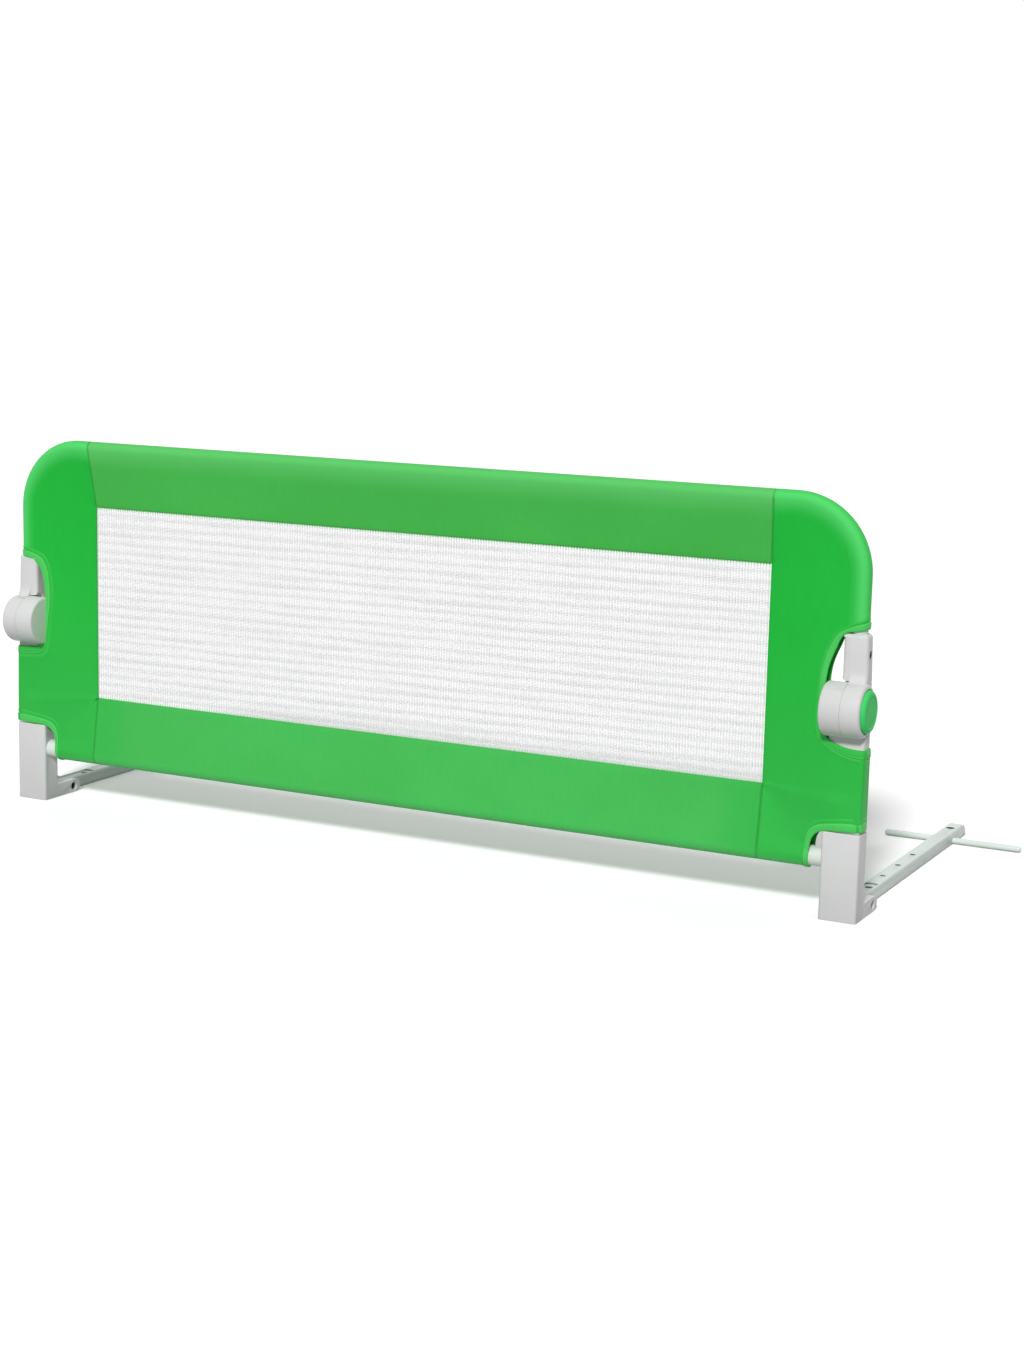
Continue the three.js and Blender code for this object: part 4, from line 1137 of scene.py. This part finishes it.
flatShares = [*cover["seamShares"], *(mix(lastShare, 1, i / spread) for i in range(1, spread + 1))]


def closeSection(front, wrap, back):
    flat, rest = [], []
    for i, share in enumerate(flatShares):
        roll = cover["seamRoll"][i] if i < len(cover["seamRoll"]) else 1
        reach, y = along(front, share)
        flat.append((reach, y * roll))
        reach, y = along(back, 1 - share)
        rest.append((reach, y * roll))
    steps = cover["wrapSteps"] + 1
    return flat + [along(wrap, i / steps) for i in range(1, steps)] + rest[::-1]


# The point at a share of a polyline's length
def along(points, share):
    lengths = [math.dist(a, b) for a, b in zip(points, points[1:])]
    left = share * sum(lengths)
    for (a, b), length in zip(zip(points, points[1:]), lengths):
        if left <= length:
            t = left / length if length else 0
            return tuple(mix(u, v, t) for u, v in zip(a, b))
        left -= length
    return points[-1]


def tubeSection(reach, stretch, radius):
    s = cover["seamHalf"]
    lift = math.asin(radius / math.hypot(reach, s)) - math.atan2(s, reach)
    steps = 24
    wrap = []
    for i in range(steps + 1):
        angle = mix(-lift, math.pi + lift, i / steps)
        wrap.append((reach + stretch * math.sin(angle), -radius * math.cos(angle)))
    return closeSection([(0, -s), wrap[0]], wrap, [wrap[-1], (0, s)])


def postSection(z, stretch=1):
    c = cover
    share = min(max((z - c["postFoot"]) / (c["foldZ"] - c["postFoot"]), 0), 1)
    front = mix(c["postFront"][0], c["postFront"][1], share)
    back, r = c["postBack"], c["postRound"]
    inner = (c["postInner"] - c["windowHalf"]) * stretch
    outer = (c["postOuter"] - c["windowHalf"]) * stretch
    turns = [quarter * i / 6 for i in range(7)]
    wrap = [(outer - r + r * math.sin(a), -front + r - r * math.cos(a)) for a in turns]
    wrap += [(outer - r + r * math.cos(a), back - r + r * math.sin(a)) for a in turns]
    s = c["seamHalf"]
    return closeSection([(0, -s), (inner, -front), wrap[0]], wrap, [wrap[-1], (inner, back), (0, s)])


def blendSections(a, b, share):
    return [tuple(mix(u, v, share) for u, v in zip(p, q)) for p, q in zip(a, b)]


# Section of the upright part of the side cover at one height
def uprightSection(z):
    c = cover
    tube = tubeSection(c["tubeLine"] - c["windowHalf"], c["radius"], c["radius"])
    return blendSections(postSection(z), tube, smooth(z, *c["postToTube"]))


# The cloth between the bottom tube and the post leans from one to the other without a crease
def eased(section, lean):
    c = cover
    last, count = c["flatSteps"] - 1, len(section)
    made = list(section)
    for j in range(c["flatSteps"]):
        reach, y = section[j]
        share = smooth(j / last, c["easeFrom"], 1)
        made[j] = (reach, mix(-(c["seamHalf"] + lean * reach), y, share))
        reach, y = section[count - 1 - j]
        made[count - 1 - j] = (reach, mix(c["seamHalf"] + lean * reach * 0.9, y, share))
    return made


def sideRows(slant):
    c = cover
    rows = []
    corner = (c["windowHalf"], c["windowLow"])
    toTube = c["windowLow"] - c["bottomTube"]
    tubeLean = (c["bottomRadius"] - c["seamHalf"]) / toTube
    postLean = (c["postFront"][0] - c["seamHalf"]) / (c["postInner"] - c["windowHalf"])
    turns = [quarter - step for step in c["besideSeam"]]
    turns += [quarter * (1 - i / c["cornerRows"]) for i in range(1, c["cornerRows"])]
    for a in turns:
        way = (math.cos(a), -math.sin(a))
        if a > math.radians(c["tubeFrom"]):
            section = tubeSection(toTube / math.sin(a), c["bottomRadius"] / math.sin(a), c["bottomRadius"])
        else:
            section = postSection(c["windowLow"] - c["postBelow"] * math.sin(a), 1 / math.cos(a))
        share = smooth(math.degrees(a), *c["leanTurns"])
        lean = mix(postLean * math.cos(a), tubeLean * math.sin(a), share)
        rows.append((corner, way, eased(section, lean)))
    bendX, bendZ = c["tubeLine"] - c["bend"], c["topTube"] - c["bend"]
    steps = c["uprightRows"]
    for i in range(steps + 1):
        z = mix(c["windowLow"], bendZ, i / steps)
        rows.append(((c["windowHalf"], z), (1, 0), uprightSection(z)))
    corner = (c["windowHalf"], c["windowHigh"])
    outline = c["bend"] + c["radius"]
    targets = []
    for i in range(1, c["bendRows"] + 1):
        a = quarter * i / c["bendRows"]
        targets.append((bendX + outline * math.cos(a), bendZ + outline * math.sin(a)))
    seamTop = (c["windowHalf"] + slant, c["topTube"] + c["radius"])
    for share in c["topShares"]:
        targets.append((mix(bendX, seamTop[0], share), seamTop[1]))
    for target in targets:
        span = math.dist(corner, target)
        way = ((target[0] - corner[0]) / span, (target[1] - corner[1]) / span)
        middle = span
        while tubeMiddle(corner[0] + way[0] * middle, corner[1] + way[1] * middle) > 0:
            middle -= 0.05
        rows.append((corner, way, tubeSection(middle, span - middle, c["radius"])))
    return rows


# How far a place lies beyond the upper tube's middle line
def tubeMiddle(x, z):
    c = cover
    bendX, bendZ = c["tubeLine"] - c["bend"], c["topTube"] - c["bend"]
    if x > bendX and z > bendZ:
        return math.hypot(x - bendX, z - bendZ) - c["bend"]
    return x - c["tubeLine"] if z <= bendZ else z - c["topTube"]


# Slack in the cloth: long soft waves that die out at the seams and on the tubes, small puckers
# beside the seams, and the seams' grooves with a lip on either side
slack = {
    "wave": 0.6,
    "long": (70, 95),  # across and up the cloth
    "short": (28, 60, 40),  # across, and how it leans, and up the cloth
    "shortShare": 0.5,
    "rise": (0.0, 0.25),  # the waves rise over these shares of the flat cloth and fall over the next
    "fall": (0.7, 0.98),
    "pucker": 0.3,
    "puckerPitch": 9,
    "seam": 1.0,
    "seamWidth": 1.3,
    "sewn": 0.42,  # how dark the painted shade of a seam's groove is at its line
    "lip": 0.35,
    "lipAt": 2.6,
    "lipWidth": 1.5,
    "seed": 3.7,
}


def slackAt(x, z, share, seamNear):
    s = slack
    pitch = s["puckerPitch"]
    calm = smooth(share, *s["rise"]) * (1 - smooth(share, *s["fall"]))
    across, up = s["long"]
    wave = noise.noise(Vector((x / across, z / up, s["seed"])))
    across, lean, up = s["short"]
    wave += s["shortShare"] * noise.noise(Vector((x / across + z / lean, z / up, s["seed"] * 2)))
    pucker = noise.noise(Vector((x / pitch, z / pitch, s["seed"] * 3))) * math.exp(-seamNear / pitch)
    groove = -s["seam"] * math.exp(-((seamNear / s["seamWidth"]) ** 2))
    lip = s["lip"] * math.exp(-(((seamNear - s["lipAt"]) / s["lipWidth"]) ** 2))
    return s["wave"] * wave * calm + s["pucker"] * pucker + groove + lip


# A grid of points as a mesh with a UV map in metres of cloth. Each point is its place, its UV and up to
# three values: how much painted light lies on it (the highlight over a tube; a tape's pale band as
# well; the cover's green reflection on the net), how much paler green is painted towards the floor for
# light from below, and how much painted shade lies along a seam.
def clothMesh(name, grid):
    across = len(grid[0])
    points = [point for row in grid for point in row]
    faces = []
    for i in range(len(grid) - 1):
        for j in range(across - 1):
            a = i * across + j
            faces.append((a, a + 1, a + 1 + across, a + across))
    mesh = bpy.data.meshes.new(name)
    places, uvs, *values = zip(*points)
    mesh.from_pydata(places, [], faces)
    layer = mesh.uv_layers.new(name="UVMap")
    for loop in mesh.loops:
        layer.data[loop.index].uv = uvs[loop.vertex_index]
    for label, column in zip(("paintedLightAndTapeBand", "low", "seam"), values):
        attribute = mesh.attributes.new(label, "FLOAT", "POINT")
        attribute.data.foreach_set("value", column)
    return addObject(name, mesh)


# Joins points that meet, and turns all faces outwards
def mendMesh(piece, weld=0):
    only(piece)
    bpy.ops.object.mode_set(mode="EDIT")
    bpy.ops.mesh.select_all(action="SELECT")
    if weld:
        bpy.ops.mesh.remove_doubles(threshold=weld * mm)
    bpy.ops.mesh.normals_make_consistent(inside=False)
    bpy.ops.object.mode_set(mode="OBJECT")


def thicken(piece, thickness, offset=-1):
    return applied(
        piece, "SOLIDIFY", thickness=thickness * mm, offset=offset, use_even_offset=True, use_rim=True
    )


def arcLengths(section):
    total, lengths = 0, [0]
    for a, b in zip(section, section[1:]):
        total += math.dist(a, b)
        lengths.append(total)
    return lengths


# Where light is painted on the cloth: a highlight over the tubes, between two distances from the
# tube's ridge, and a paler, yellower green towards the floor for light from below
paintedLight = {
    "upper": (5, 19),
    "bend": (8, 330, 400),  # how much further the painted highlight reaches at the bend, rising between two heights
    "upperRise": (240, 300),
    "upperMost": 0.85,
    "lower": (2, 12),
    "lowerFall": (50, 72),
    "lowerMost": 0.7,
    # a paler green painted towards the floor, for light from below: its share at the floor, and the heights
    # over which it goes
    "paintedFloorLight": 0.85,
    "paintedFloorLightFall": (30, 310),
    "topStrip": (7, 31),
    "topMost": 0.95,
    "bottomStrip": (2, 16),
    "bottomMost": 0.7,
    "paintedFloorLightEnds": (8, 60),  # distances from the ends of the bottom strip
}


# How strong the painted highlight is where the cloth runs over a tube, between two distances from
# the tube's ridge. It is weaker at the very edge, as the shading of a round tube is.
def paintedHighlightAt(reach, section, near, far, atEdge=0.55):
    outer = max(point[0] for point in section)
    return (1 - smooth(outer - reach, near, far)) * mix(atEdge, 1, smooth(outer - reach, 0, 3.4))


def sideSurface(slant):
    grid = []
    flatEnd = cover["flatSteps"] - 1
    p = paintedLight
    near, far = p["upper"]
    wider, bendLow, bendHigh = p["bend"]
    for start, way, section in sideRows(slant):
        lengths = arcLengths(section)
        row = []
        count = len(section)
        for j, (reach, y) in enumerate(section):
            x, z = start[0] + way[0] * reach, start[1] + way[1] * reach
            share = min(lengths[j], lengths[-1] - lengths[j]) / lengths[flatEnd]
            nearSeam = seamDistance(x, z, slant)
            if j <= flatEnd or j >= count - 1 - flatEnd:
                out = -1 if j < count / 2 else 1
                fade = 1 if abs(y) > 2 else abs(y) / 2
                y += out * slackAt(x, z, min(share, 1), nearSeam) * fade
            uv = ((start[0] + way[0] * lengths[j]) * mm, (start[1] + way[1] * lengths[j]) * mm)
            # Painted light: a highlight over the upper tube, and light from below over the bottom tube
            upper = paintedHighlightAt(reach, section, near, far + wider * smooth(z, bendLow, bendHigh))
            upper *= smooth(z, *p["upperRise"])
            lower = paintedHighlightAt(reach, section, *p["lower"], 1) * (1 - smooth(z, *p["lowerFall"]))
            pale = max(upper * p["upperMost"], lower * p["lowerMost"])
            # paler green painted towards the floor, for light from below
            low = p["paintedFloorLight"] - p["paintedFloorLight"] * smooth(z, *p["paintedFloorLightFall"])
            seam = seamShadeAt(nearSeam)
            # painted shade at the window's edge, where the cloth rolls in
            if j <= flatEnd:
                seam = max(seam, 0.5 * seamShadeAt(reach))
            row.append((place(x, y, z), uv, pale, low, seam))
        grid.append(row)
    return grid


# How dark the painted shade of a seam's groove is at a distance from its line
def seamShadeAt(distance):
    return slack["sewn"] * math.exp(-((distance / slack["seamWidth"]) ** 2) * 2)


def seamDistance(x, z, slant):
    c = cover
    if z > c["windowHigh"]:
        share = (z - c["windowHigh"]) / (c["topTube"] + c["radius"] - c["windowHigh"])
        return abs(x - c["windowHalf"] - slant * min(share, 1))
    if z < c["windowLow"]:
        return abs(x - c["windowHalf"])
    return 99


# Edges of the cut-outs as (x, z) seen from the front, and the outer edges of their tapes
hingeCuts = {
    "right": {
        "edge": [
            (503.5, 285.8), (496.5, 284.4), (487.4, 282.9), (481, 281.6), (476.6, 279),
            (472.6, 273.6), (469.6, 266.5), (466, 258.1), (462.9, 249), (461.2, 240),
            (460.4, 231), (460.2, 215), (460.6, 198), (462.4, 186), (464.5, 180),
            (470, 175.8), (479.5, 172.2), (487, 170.4), (494.6, 169.5), (503.5, 169.2),
        ],
        "tape": [
            (504, 292.8), (496, 291), (487.1, 288.2), (480.3, 285.4), (473.8, 282),
            (469, 277), (465.2, 270.5), (461.4, 262.5), (458.4, 252.6), (456.2, 242.6),
            (455.2, 232), (454.8, 215), (455, 198), (456.4, 185), (459.4, 177.8),
            (466.6, 171.6), (476.3, 166.7), (486, 163.4), (494, 161.8), (503.5, 161.2),
        ],
    },
    "left": {
        "edge": [
            (503.5, 279.8), (493, 278.7), (485.5, 277.4), (479.8, 275), (474.6, 270.6),
            (471, 264.4), (468.2, 255.4), (466, 244), (465, 235), (465.2, 226),
            (466.6, 212), (468.4, 198), (469.8, 187), (471.5, 180.6), (475.5, 177.8),
            (485.5, 176.6), (495, 175.8), (503.5, 175.4),
        ],
        "tape": [
            (504, 286.8), (493, 285.8), (484.5, 284.3), (476.5, 281.6), (469.6, 277.4),
            (464.8, 270), (461.6, 259), (459.4, 246), (458.6, 235), (458.8, 225),
            (460, 211), (461.6, 197), (462.6, 185), (464.6, 175.6), (470.4, 170),
            (484, 168.2), (494.5, 167.4), (503.5, 167),
        ],
    },
}
footCut = {
    "edge": [
        (503.5, 90.2), (486, 89.6), (471, 88.8), (462, 86.4), (457.4, 83.4), (453.8, 78.2),
        (452.3, 71), (451.8, 62), (451.6, 59.3), (451.4, 50.5), (451.4, 41.7),
    ],
    "tape": [
        (503.5, 98.6), (485.7, 97.6), (470.8, 95.8), (461.2, 93.4), (454.8, 90.2),
        (450.6, 84.6), (448.6, 76), (447.6, 64), (447.4, 59.3), (447.2, 50.5),
        (447.2, 41.7),
    ],
    "straightBelow": 52,  # below this height the edge is cut straight down
}
cutter = {"outside": 560, "floor": -30, "half": 60}  # how far the cutting prisms reach


def cutPrism(points, beyond):
    outline = [(x, -cutter["half"], z) for x, z in points + beyond]
    return addPrism("cutter", outline, (0, 2 * cutter["half"], 0))


def makeSideCover(name, hingeEdge, slant):
    skin = clothMesh(name, sideSurface(slant))
    mendMesh(skin, 0.01)
    turnOutwards(skin)
    surface = BVHTree.FromObject(skin, bpy.context.evaluated_depsgraph_get())
    thicken(skin, cover["thickness"])
    outside, floor = cutter["outside"], cutter["floor"]
    hingeTool = cutPrism(hingeEdge, [(outside, hingeEdge[-1][1]), (outside, hingeEdge[0][1])])
    edge = [point for point in footCut["edge"] if point[1] > footCut["straightBelow"]]
    corners = [(footCut["edge"][-1][0], floor), (outside, floor), (outside, edge[0][1])]
    footTool = cutPrism(edge, corners)
    cutAway(skin, hingeTool, footTool)
    finishPiece(skin, cloths["side"], 50)
    return skin, surface


# The front layer's faces have to look towards -Y
def turnOutwards(piece):
    for face in piece.data.polygons:
        off = face.center.y - tubePlane
        if abs(face.normal.y) > 0.9 and abs(off) > 3 * mm:
            if face.normal.y * off < 0:
                piece.data.flip_normals()
            return


# The tape's section: shares of the way from the opening's edge to the tape's outer edge, and how far
# each of these points is lifted off the cover
tape = {
    "shares": (-0.05, -0.08, -0.04, 0.12, 0.35, 0.65, 0.86, 0.96, 1.0, 1.08, 1.22, 1.4, 1.55, 1.62, 0.4),
    "lifts": (-1.15, -0.4, 0.4, 0.85, 0.95, 0.95, 0.85, 0.5, 0.06, 0.1, 0.42, 0.42, 0.12, -0.2, -0.3),
    "middle": 4,  # the point whose path gives the tape's length
    "band": 0.98,  # the tape ends here and the folded edge of the cloth follows
    "fade": (176, 200),  # heights between which the hinge's tape turns pale; below them it is painted in the cloth's dark green, as shade
    "width": 8,
    "round": 10,  # the width round its back
    "turnRound": 13,  # how far past the tube's line the turn round the upright reaches a quarter
    "outermost": 503.4,  # points past this lie where that turn ends
    "stitch": 0.84,
    "stitchLift": 0.95,
    "stitchLength": 2.2,
    "stitchPitch": 2.8,
    "stitchWidth": 0.8,
}


# Where a tape's point lies: a ray from outside the cover meets it. Beyond the tube's line the
# ray turns round the upright, and below the bottom tube's line it turns round that tube.
def coverPoint(coverSurface, x, z, face):
    c = cover
    if z < c["bottomTube"]:
        angle = (c["bottomTube"] - z) / c["bottomRadius"]
        way = Vector((0, face * math.cos(angle), -math.sin(angle)))
        middle = place(x, 0, c["bottomTube"])
    elif x > c["tubeLine"]:
        angle = (x - c["tubeLine"]) / tape["turnRound"] * quarter
        way = Vector((math.sin(angle), face * math.cos(angle), 0))
        middle = place(c["tubeLine"], 0, z)
    else:
        way = Vector((0, face, 0))
        middle = place(x, 0, z)
    hit, normal, _, _ = coverSurface.ray_cast(middle + way * cutter["half"] * mm, -way)
    if hit is None:
        return middle + way * 10 * mm, way
    return hit, normal if normal.dot(way) > 0 else -normal


# More points on a smooth curve through a few
def curveThrough(points, steps):
    made = []
    for i in range(len(points) - 1):
        around = points[max(i - 1, 0)], points[i], points[i + 1], points[min(i + 2, len(points) - 1)]
        for k in range(steps):
            t = k / steps
            spot = []
            for a, b, c, d in zip(*around):
                square = (2 * a - 5 * b + 4 * c - d) * t * t
                cube = (3 * b - a - 3 * c + d) * t**3
                spot.append(0.5 * (2 * b + (c - a) * t + square + cube))
            made.append(tuple(spot))
    made.append(points[-1])
    return made


def tapeLine(points):
    endX = cover["tubeLine"] + tape["turnRound"]
    return [(min(x, endX) if x < tape["outermost"] else endX, z) for x, z in curveThrough(points, 5)]


def between(edge, outer, share):
    return mix(edge[0], outer[0], share), mix(edge[1], outer[1], share)


# A tape runs along the front edge of its opening and back along the back edge
def makeTape(name, surface, cut, paintedShadeBelow):
    front = list(zip(tapeLine(cut["edge"]), tapeLine(cut["tape"])))
    stations = [(*pair, -1) for pair in front] + [(*pair, 1) for pair in front[-2:0:-1]]
    grid, stitches = [], []
    length = 0
    before = None
    for edge, outer, face in stations:
        spots, pales = [], []
        for share, lift in zip(tape["shares"], tape["lifts"]):
            x, z = between(edge, outer, share)
            hit, normal = coverPoint(surface, x, z, face)
            spots.append(hit + normal * lift * mm)
            # a hinge's tape is painted dark below its fade heights, as shade
            band = 1 if share < tape["band"] else 0
            pales.append(band * (smooth(z, *tape["fade"]) if paintedShadeBelow else 1))
        if before:
            length += (spots[tape["middle"]] - before).length
        before = spots[tape["middle"]]
        hit, normal = coverPoint(surface, *between(edge, outer, tape["stitch"]), face)
        stitches.append((hit + normal * tape["stitchLift"] * mm, normal))
        widths = [share * tape["width"] * mm for share in tape["shares"]]
        row = [(spot, (width, length), pale) for spot, width, pale in zip(spots, widths, pales)]
        row.append((spots[0], (tape["round"] * mm, length), pales[0]))
        grid.append(row)
    grid.append([(spot, (uv[0], length), pale) for spot, uv, pale in grid[0]])
    stitches.append(stitches[0])
    piece = clothMesh(name, grid)
    mendMesh(piece, 0.02)
    finishPiece(piece, tapeCloth, 60)
    return piece, stitches


# One short raised stitch: four rows of three points
def addStitch(vertices, faces, middle, way, normal):
    half, width = tape["stitchLength"] / 2 * mm, tape["stitchWidth"] / 2 * mm
    side = way.cross(normal).normalized()
    start = len(vertices)
    for step, out in ((-1, 0.1), (-0.6, 0.9), (0.6, 0.9), (1, 0.1)):
        for across in (-1, 0, 1):
            lift = width * (out if across == 0 else out * 0.3)
            aside = side * width * across * min(out + 0.3, 1)
            vertices.append(middle + way * half * step + aside + normal * lift)
    for i in range(3):
        row = start + i * 3
        for k in (row, row + 1):
            faces.append((k, k + 1, k + 4, k + 3))
        faces.append((row + 3, row + 5, row + 2, row))
    faces.append((start, start + 2, start + 1))
    faces.append((start + 9, start + 10, start + 11))


# Rows of stitches along paths of (point, normal)
def makeStitches(name, paths):
    vertices, faces = [], []
    for path in paths:
        left = 0
        for (a, normal), (b, _) in zip(path, path[1:]):
            span = (b - a).length
            if span < 1e-7:
                continue
            way = (b - a) / span
            while left < span:
                addStitch(vertices, faces, a + way * left, way, normal)
                left += tape["stitchPitch"] * mm
            left -= span
    mesh = bpy.data.meshes.new(name)
    mesh.from_pydata(vertices, [], faces)
    piece = addObject(name, mesh)
    mendMesh(piece)
    return finishPiece(piece, threadCloth, 60)


# Both covers are sewn on the right. The left one has a smaller hinge opening and is then mirrored.
def makeSide(side):
    cut = hingeCuts[side]
    skin, surface = makeSideCover("side_cover_" + side + "_body", cut["edge"], cover["slant"][side])
    upper, upperStitches = makeTape("hinge_binding_" + side, surface, cut, True)
    lower, lowerStitches = makeTape("foot_binding_" + side, surface, footCut, False)
    threads = makeStitches("cover_stitches_" + side, [upperStitches, lowerStitches])
    pieces = (skin, upper, lower, threads)
    if side == "left":
        for piece in pieces:
            piece.data.transform(Matrix.Scale(-1, 4, (1, 0, 0)))
            piece.data.flip_normals()
    sizes = [len(piece.data.polygons) for piece in pieces]
    print(side, "cover made:", sizes[0], "faces,", sizes[-1], "in its stitches")
    return pieces


sidePieces = {side: makeSide(side) for side in ("right", "left")}


# The sleeves of the top and bottom tubes. Their columns are closer beside the side seams.
strip = {
    "nearSeam": (1, 0.9992, 0.9984, 0.997, 0.9955, 0.993, 0.988),
    "inner": 0.98,
    "halfColumns": 60,
    "setBack": 0.05,
}


def makeStrip(name, tubeZ, windowZ, radius, slant, material, seed):
    c, s, p = cover, strip, paintedLight
    up = 1 if tubeZ > windowZ else -1
    toTube = abs(tubeZ - windowZ)
    section = tubeSection(toTube, radius, radius)
    lengths = arcLengths(section)
    half = s["halfColumns"]
    inner = [s["inner"] * (1 - i / half) for i in range(2 * half + 1)]
    shares = [*s["nearSeam"], *inner, *(-share for share in reversed(s["nearSeam"]))]
    grid = []
    for share in reversed(shares):
        row = []
        for j, (reach, y) in enumerate(section):
            z = windowZ + up * reach
            lean = slant["right" if share > 0 else "left"] * min(reach / (toTube + radius), 1)
            x = share * (c["windowHalf"] + lean - s["setBack"])
            fromEnd = (1 - abs(share)) * (c["windowHalf"] + lean)
            part = min(min(lengths[j], lengths[-1] - lengths[j]) / lengths[c["flatSteps"] - 1], 1)
            if j < c["flatSteps"] or j >= len(section) - c["flatSteps"]:
                out = -1 if j < len(section) / 2 else 1
                y += out * slackAt(x + seed * 100, z, part, fromEnd) * min(abs(y) / 2, 1)
            else:
                z += up * -slack["seam"] * 0.5 * math.exp(-((fromEnd / slack["seamWidth"]) ** 2))
            # Painted light: a highlight over the top tube, light from below under the bottom tube, and near
            # the bottom strip's ends the paler green painted for light from below
            if up > 0:
                pale, low = p["topMost"] * paintedHighlightAt(reach, section, *p["topStrip"]), 0
            else:
                pale = p["bottomMost"] * paintedHighlightAt(reach, section, *p["bottomStrip"], 1)
                low = 1 - smooth(fromEnd, *p["paintedFloorLightEnds"])
            # painted shade along the side seams and at the window's edge
            seam = max(seamShadeAt(fromEnd), 0.7 * seamShadeAt(reach))
            row.append((place(x, y, z), (x * mm, lengths[j] * mm), pale, low, seam))
        grid.append(row)
    piece = clothMesh(name, grid)
    turnOutwards(piece)
    thicken(piece, c["thickness"])
    finishPiece(piece, material, 60)
    return piece, lengths[-1]


topSizes = (cover["topTube"], cover["windowHigh"], cover["radius"], cover["slant"])
bottomSizes = (cover["bottomTube"], cover["windowLow"], cover["bottomRadius"], {"left": 0, "right": 0})
topStrip, topLength = makeStrip("top_cover_cloth", *topSizes, cloths["top"], 1)
bottomStrip, bottomLength = makeStrip("bottom_cover_cloth", *bottomSizes, cloths["bottom"], 2)


# The window's net, one piece across the fold, tucked in between the layers of the cover
net = {
    "tuck": 7,
    "thickness": 0.35,
    "columns": 160,
    "rows": 64,
    "sag": 0.7,
    "sagFrom": 40,  # from the window's edge to where the net sags in full
    "waves": (120, 60),
    "seed": 8.1,
    "edge": (0.96, 2.56),  # how far in the cover's green shines in full, and at all
}


def makeNet():
    n, c = net, cover
    halfX = c["windowHalf"] + n["tuck"]
    low, high = c["windowLow"] - n["tuck"], c["windowHigh"] + n["tuck"]
    across, up = n["waves"]
    grid = []
    for i in range(n["rows"] + 1):
        z = mix(low, high, i / n["rows"])
        row = []
        for j in range(n["columns"] + 1):
            x = mix(-halfX, halfX, j / n["columns"])
            inside = min(c["windowHalf"] - abs(x), z - c["windowLow"], c["windowHigh"] - z)
            wave = noise.noise(Vector((x / across, z / up, n["seed"])))
            y = n["sag"] * smooth(inside, 0, n["sagFrom"]) * wave
            # painted green reflection of the cover, strongest at the window's edge
            pale = 1 - smooth(inside, *n["edge"])
            row.append((place(x, y, z), (x * mm, z * mm), pale))
        grid.append(row)
    piece = clothMesh("window_net", grid)
    thicken(piece, n["thickness"], 0)
    return finishPiece(piece, netCloth, 60)


windowNet = makeNet()
print("strips and net made")

# Riding and replacing the cloth.
foldLow = place(0, 0, cover["foldZ"] - cover["bendHalf"])
foldHigh = place(0, 0, cover["foldZ"] + cover["bendHalf"])
for side, pieces in sidePieces.items():
    for piece in pieces:
        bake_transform(piece)
    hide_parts("side_cover_upper_" + side, "side_cover_lower_" + side)
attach(topStrip, "upper_frame")
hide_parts("top_cover")
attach(bottomStrip, "base")
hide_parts("bottom_cover")
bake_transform(windowNet)
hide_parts("mesh_upper", "mesh_lower")

for side, (skin, *trims) in sidePieces.items():
    "corner_tube_" + side
    "hinge_post_" + side + "_body"

# Finishes of the nodes that stay
nodeFinishes = {
    "top_tube": whitePaint,
    "corner_tube": whitePaint,
    "bottom_tube_joiner": zinc,
    "snap_pin": zinc,
    "tube_screw": zinc,
    "post_screw": zinc,
    "axle_bolt": zinc,
    "lock_gear": zinc,
}
for name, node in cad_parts.items():
    if not node.hide_render:
        base = name.removesuffix("_left").removesuffix("_right")
        node.data.materials.clear()
        node.data.materials.append(nodeFinishes[base])
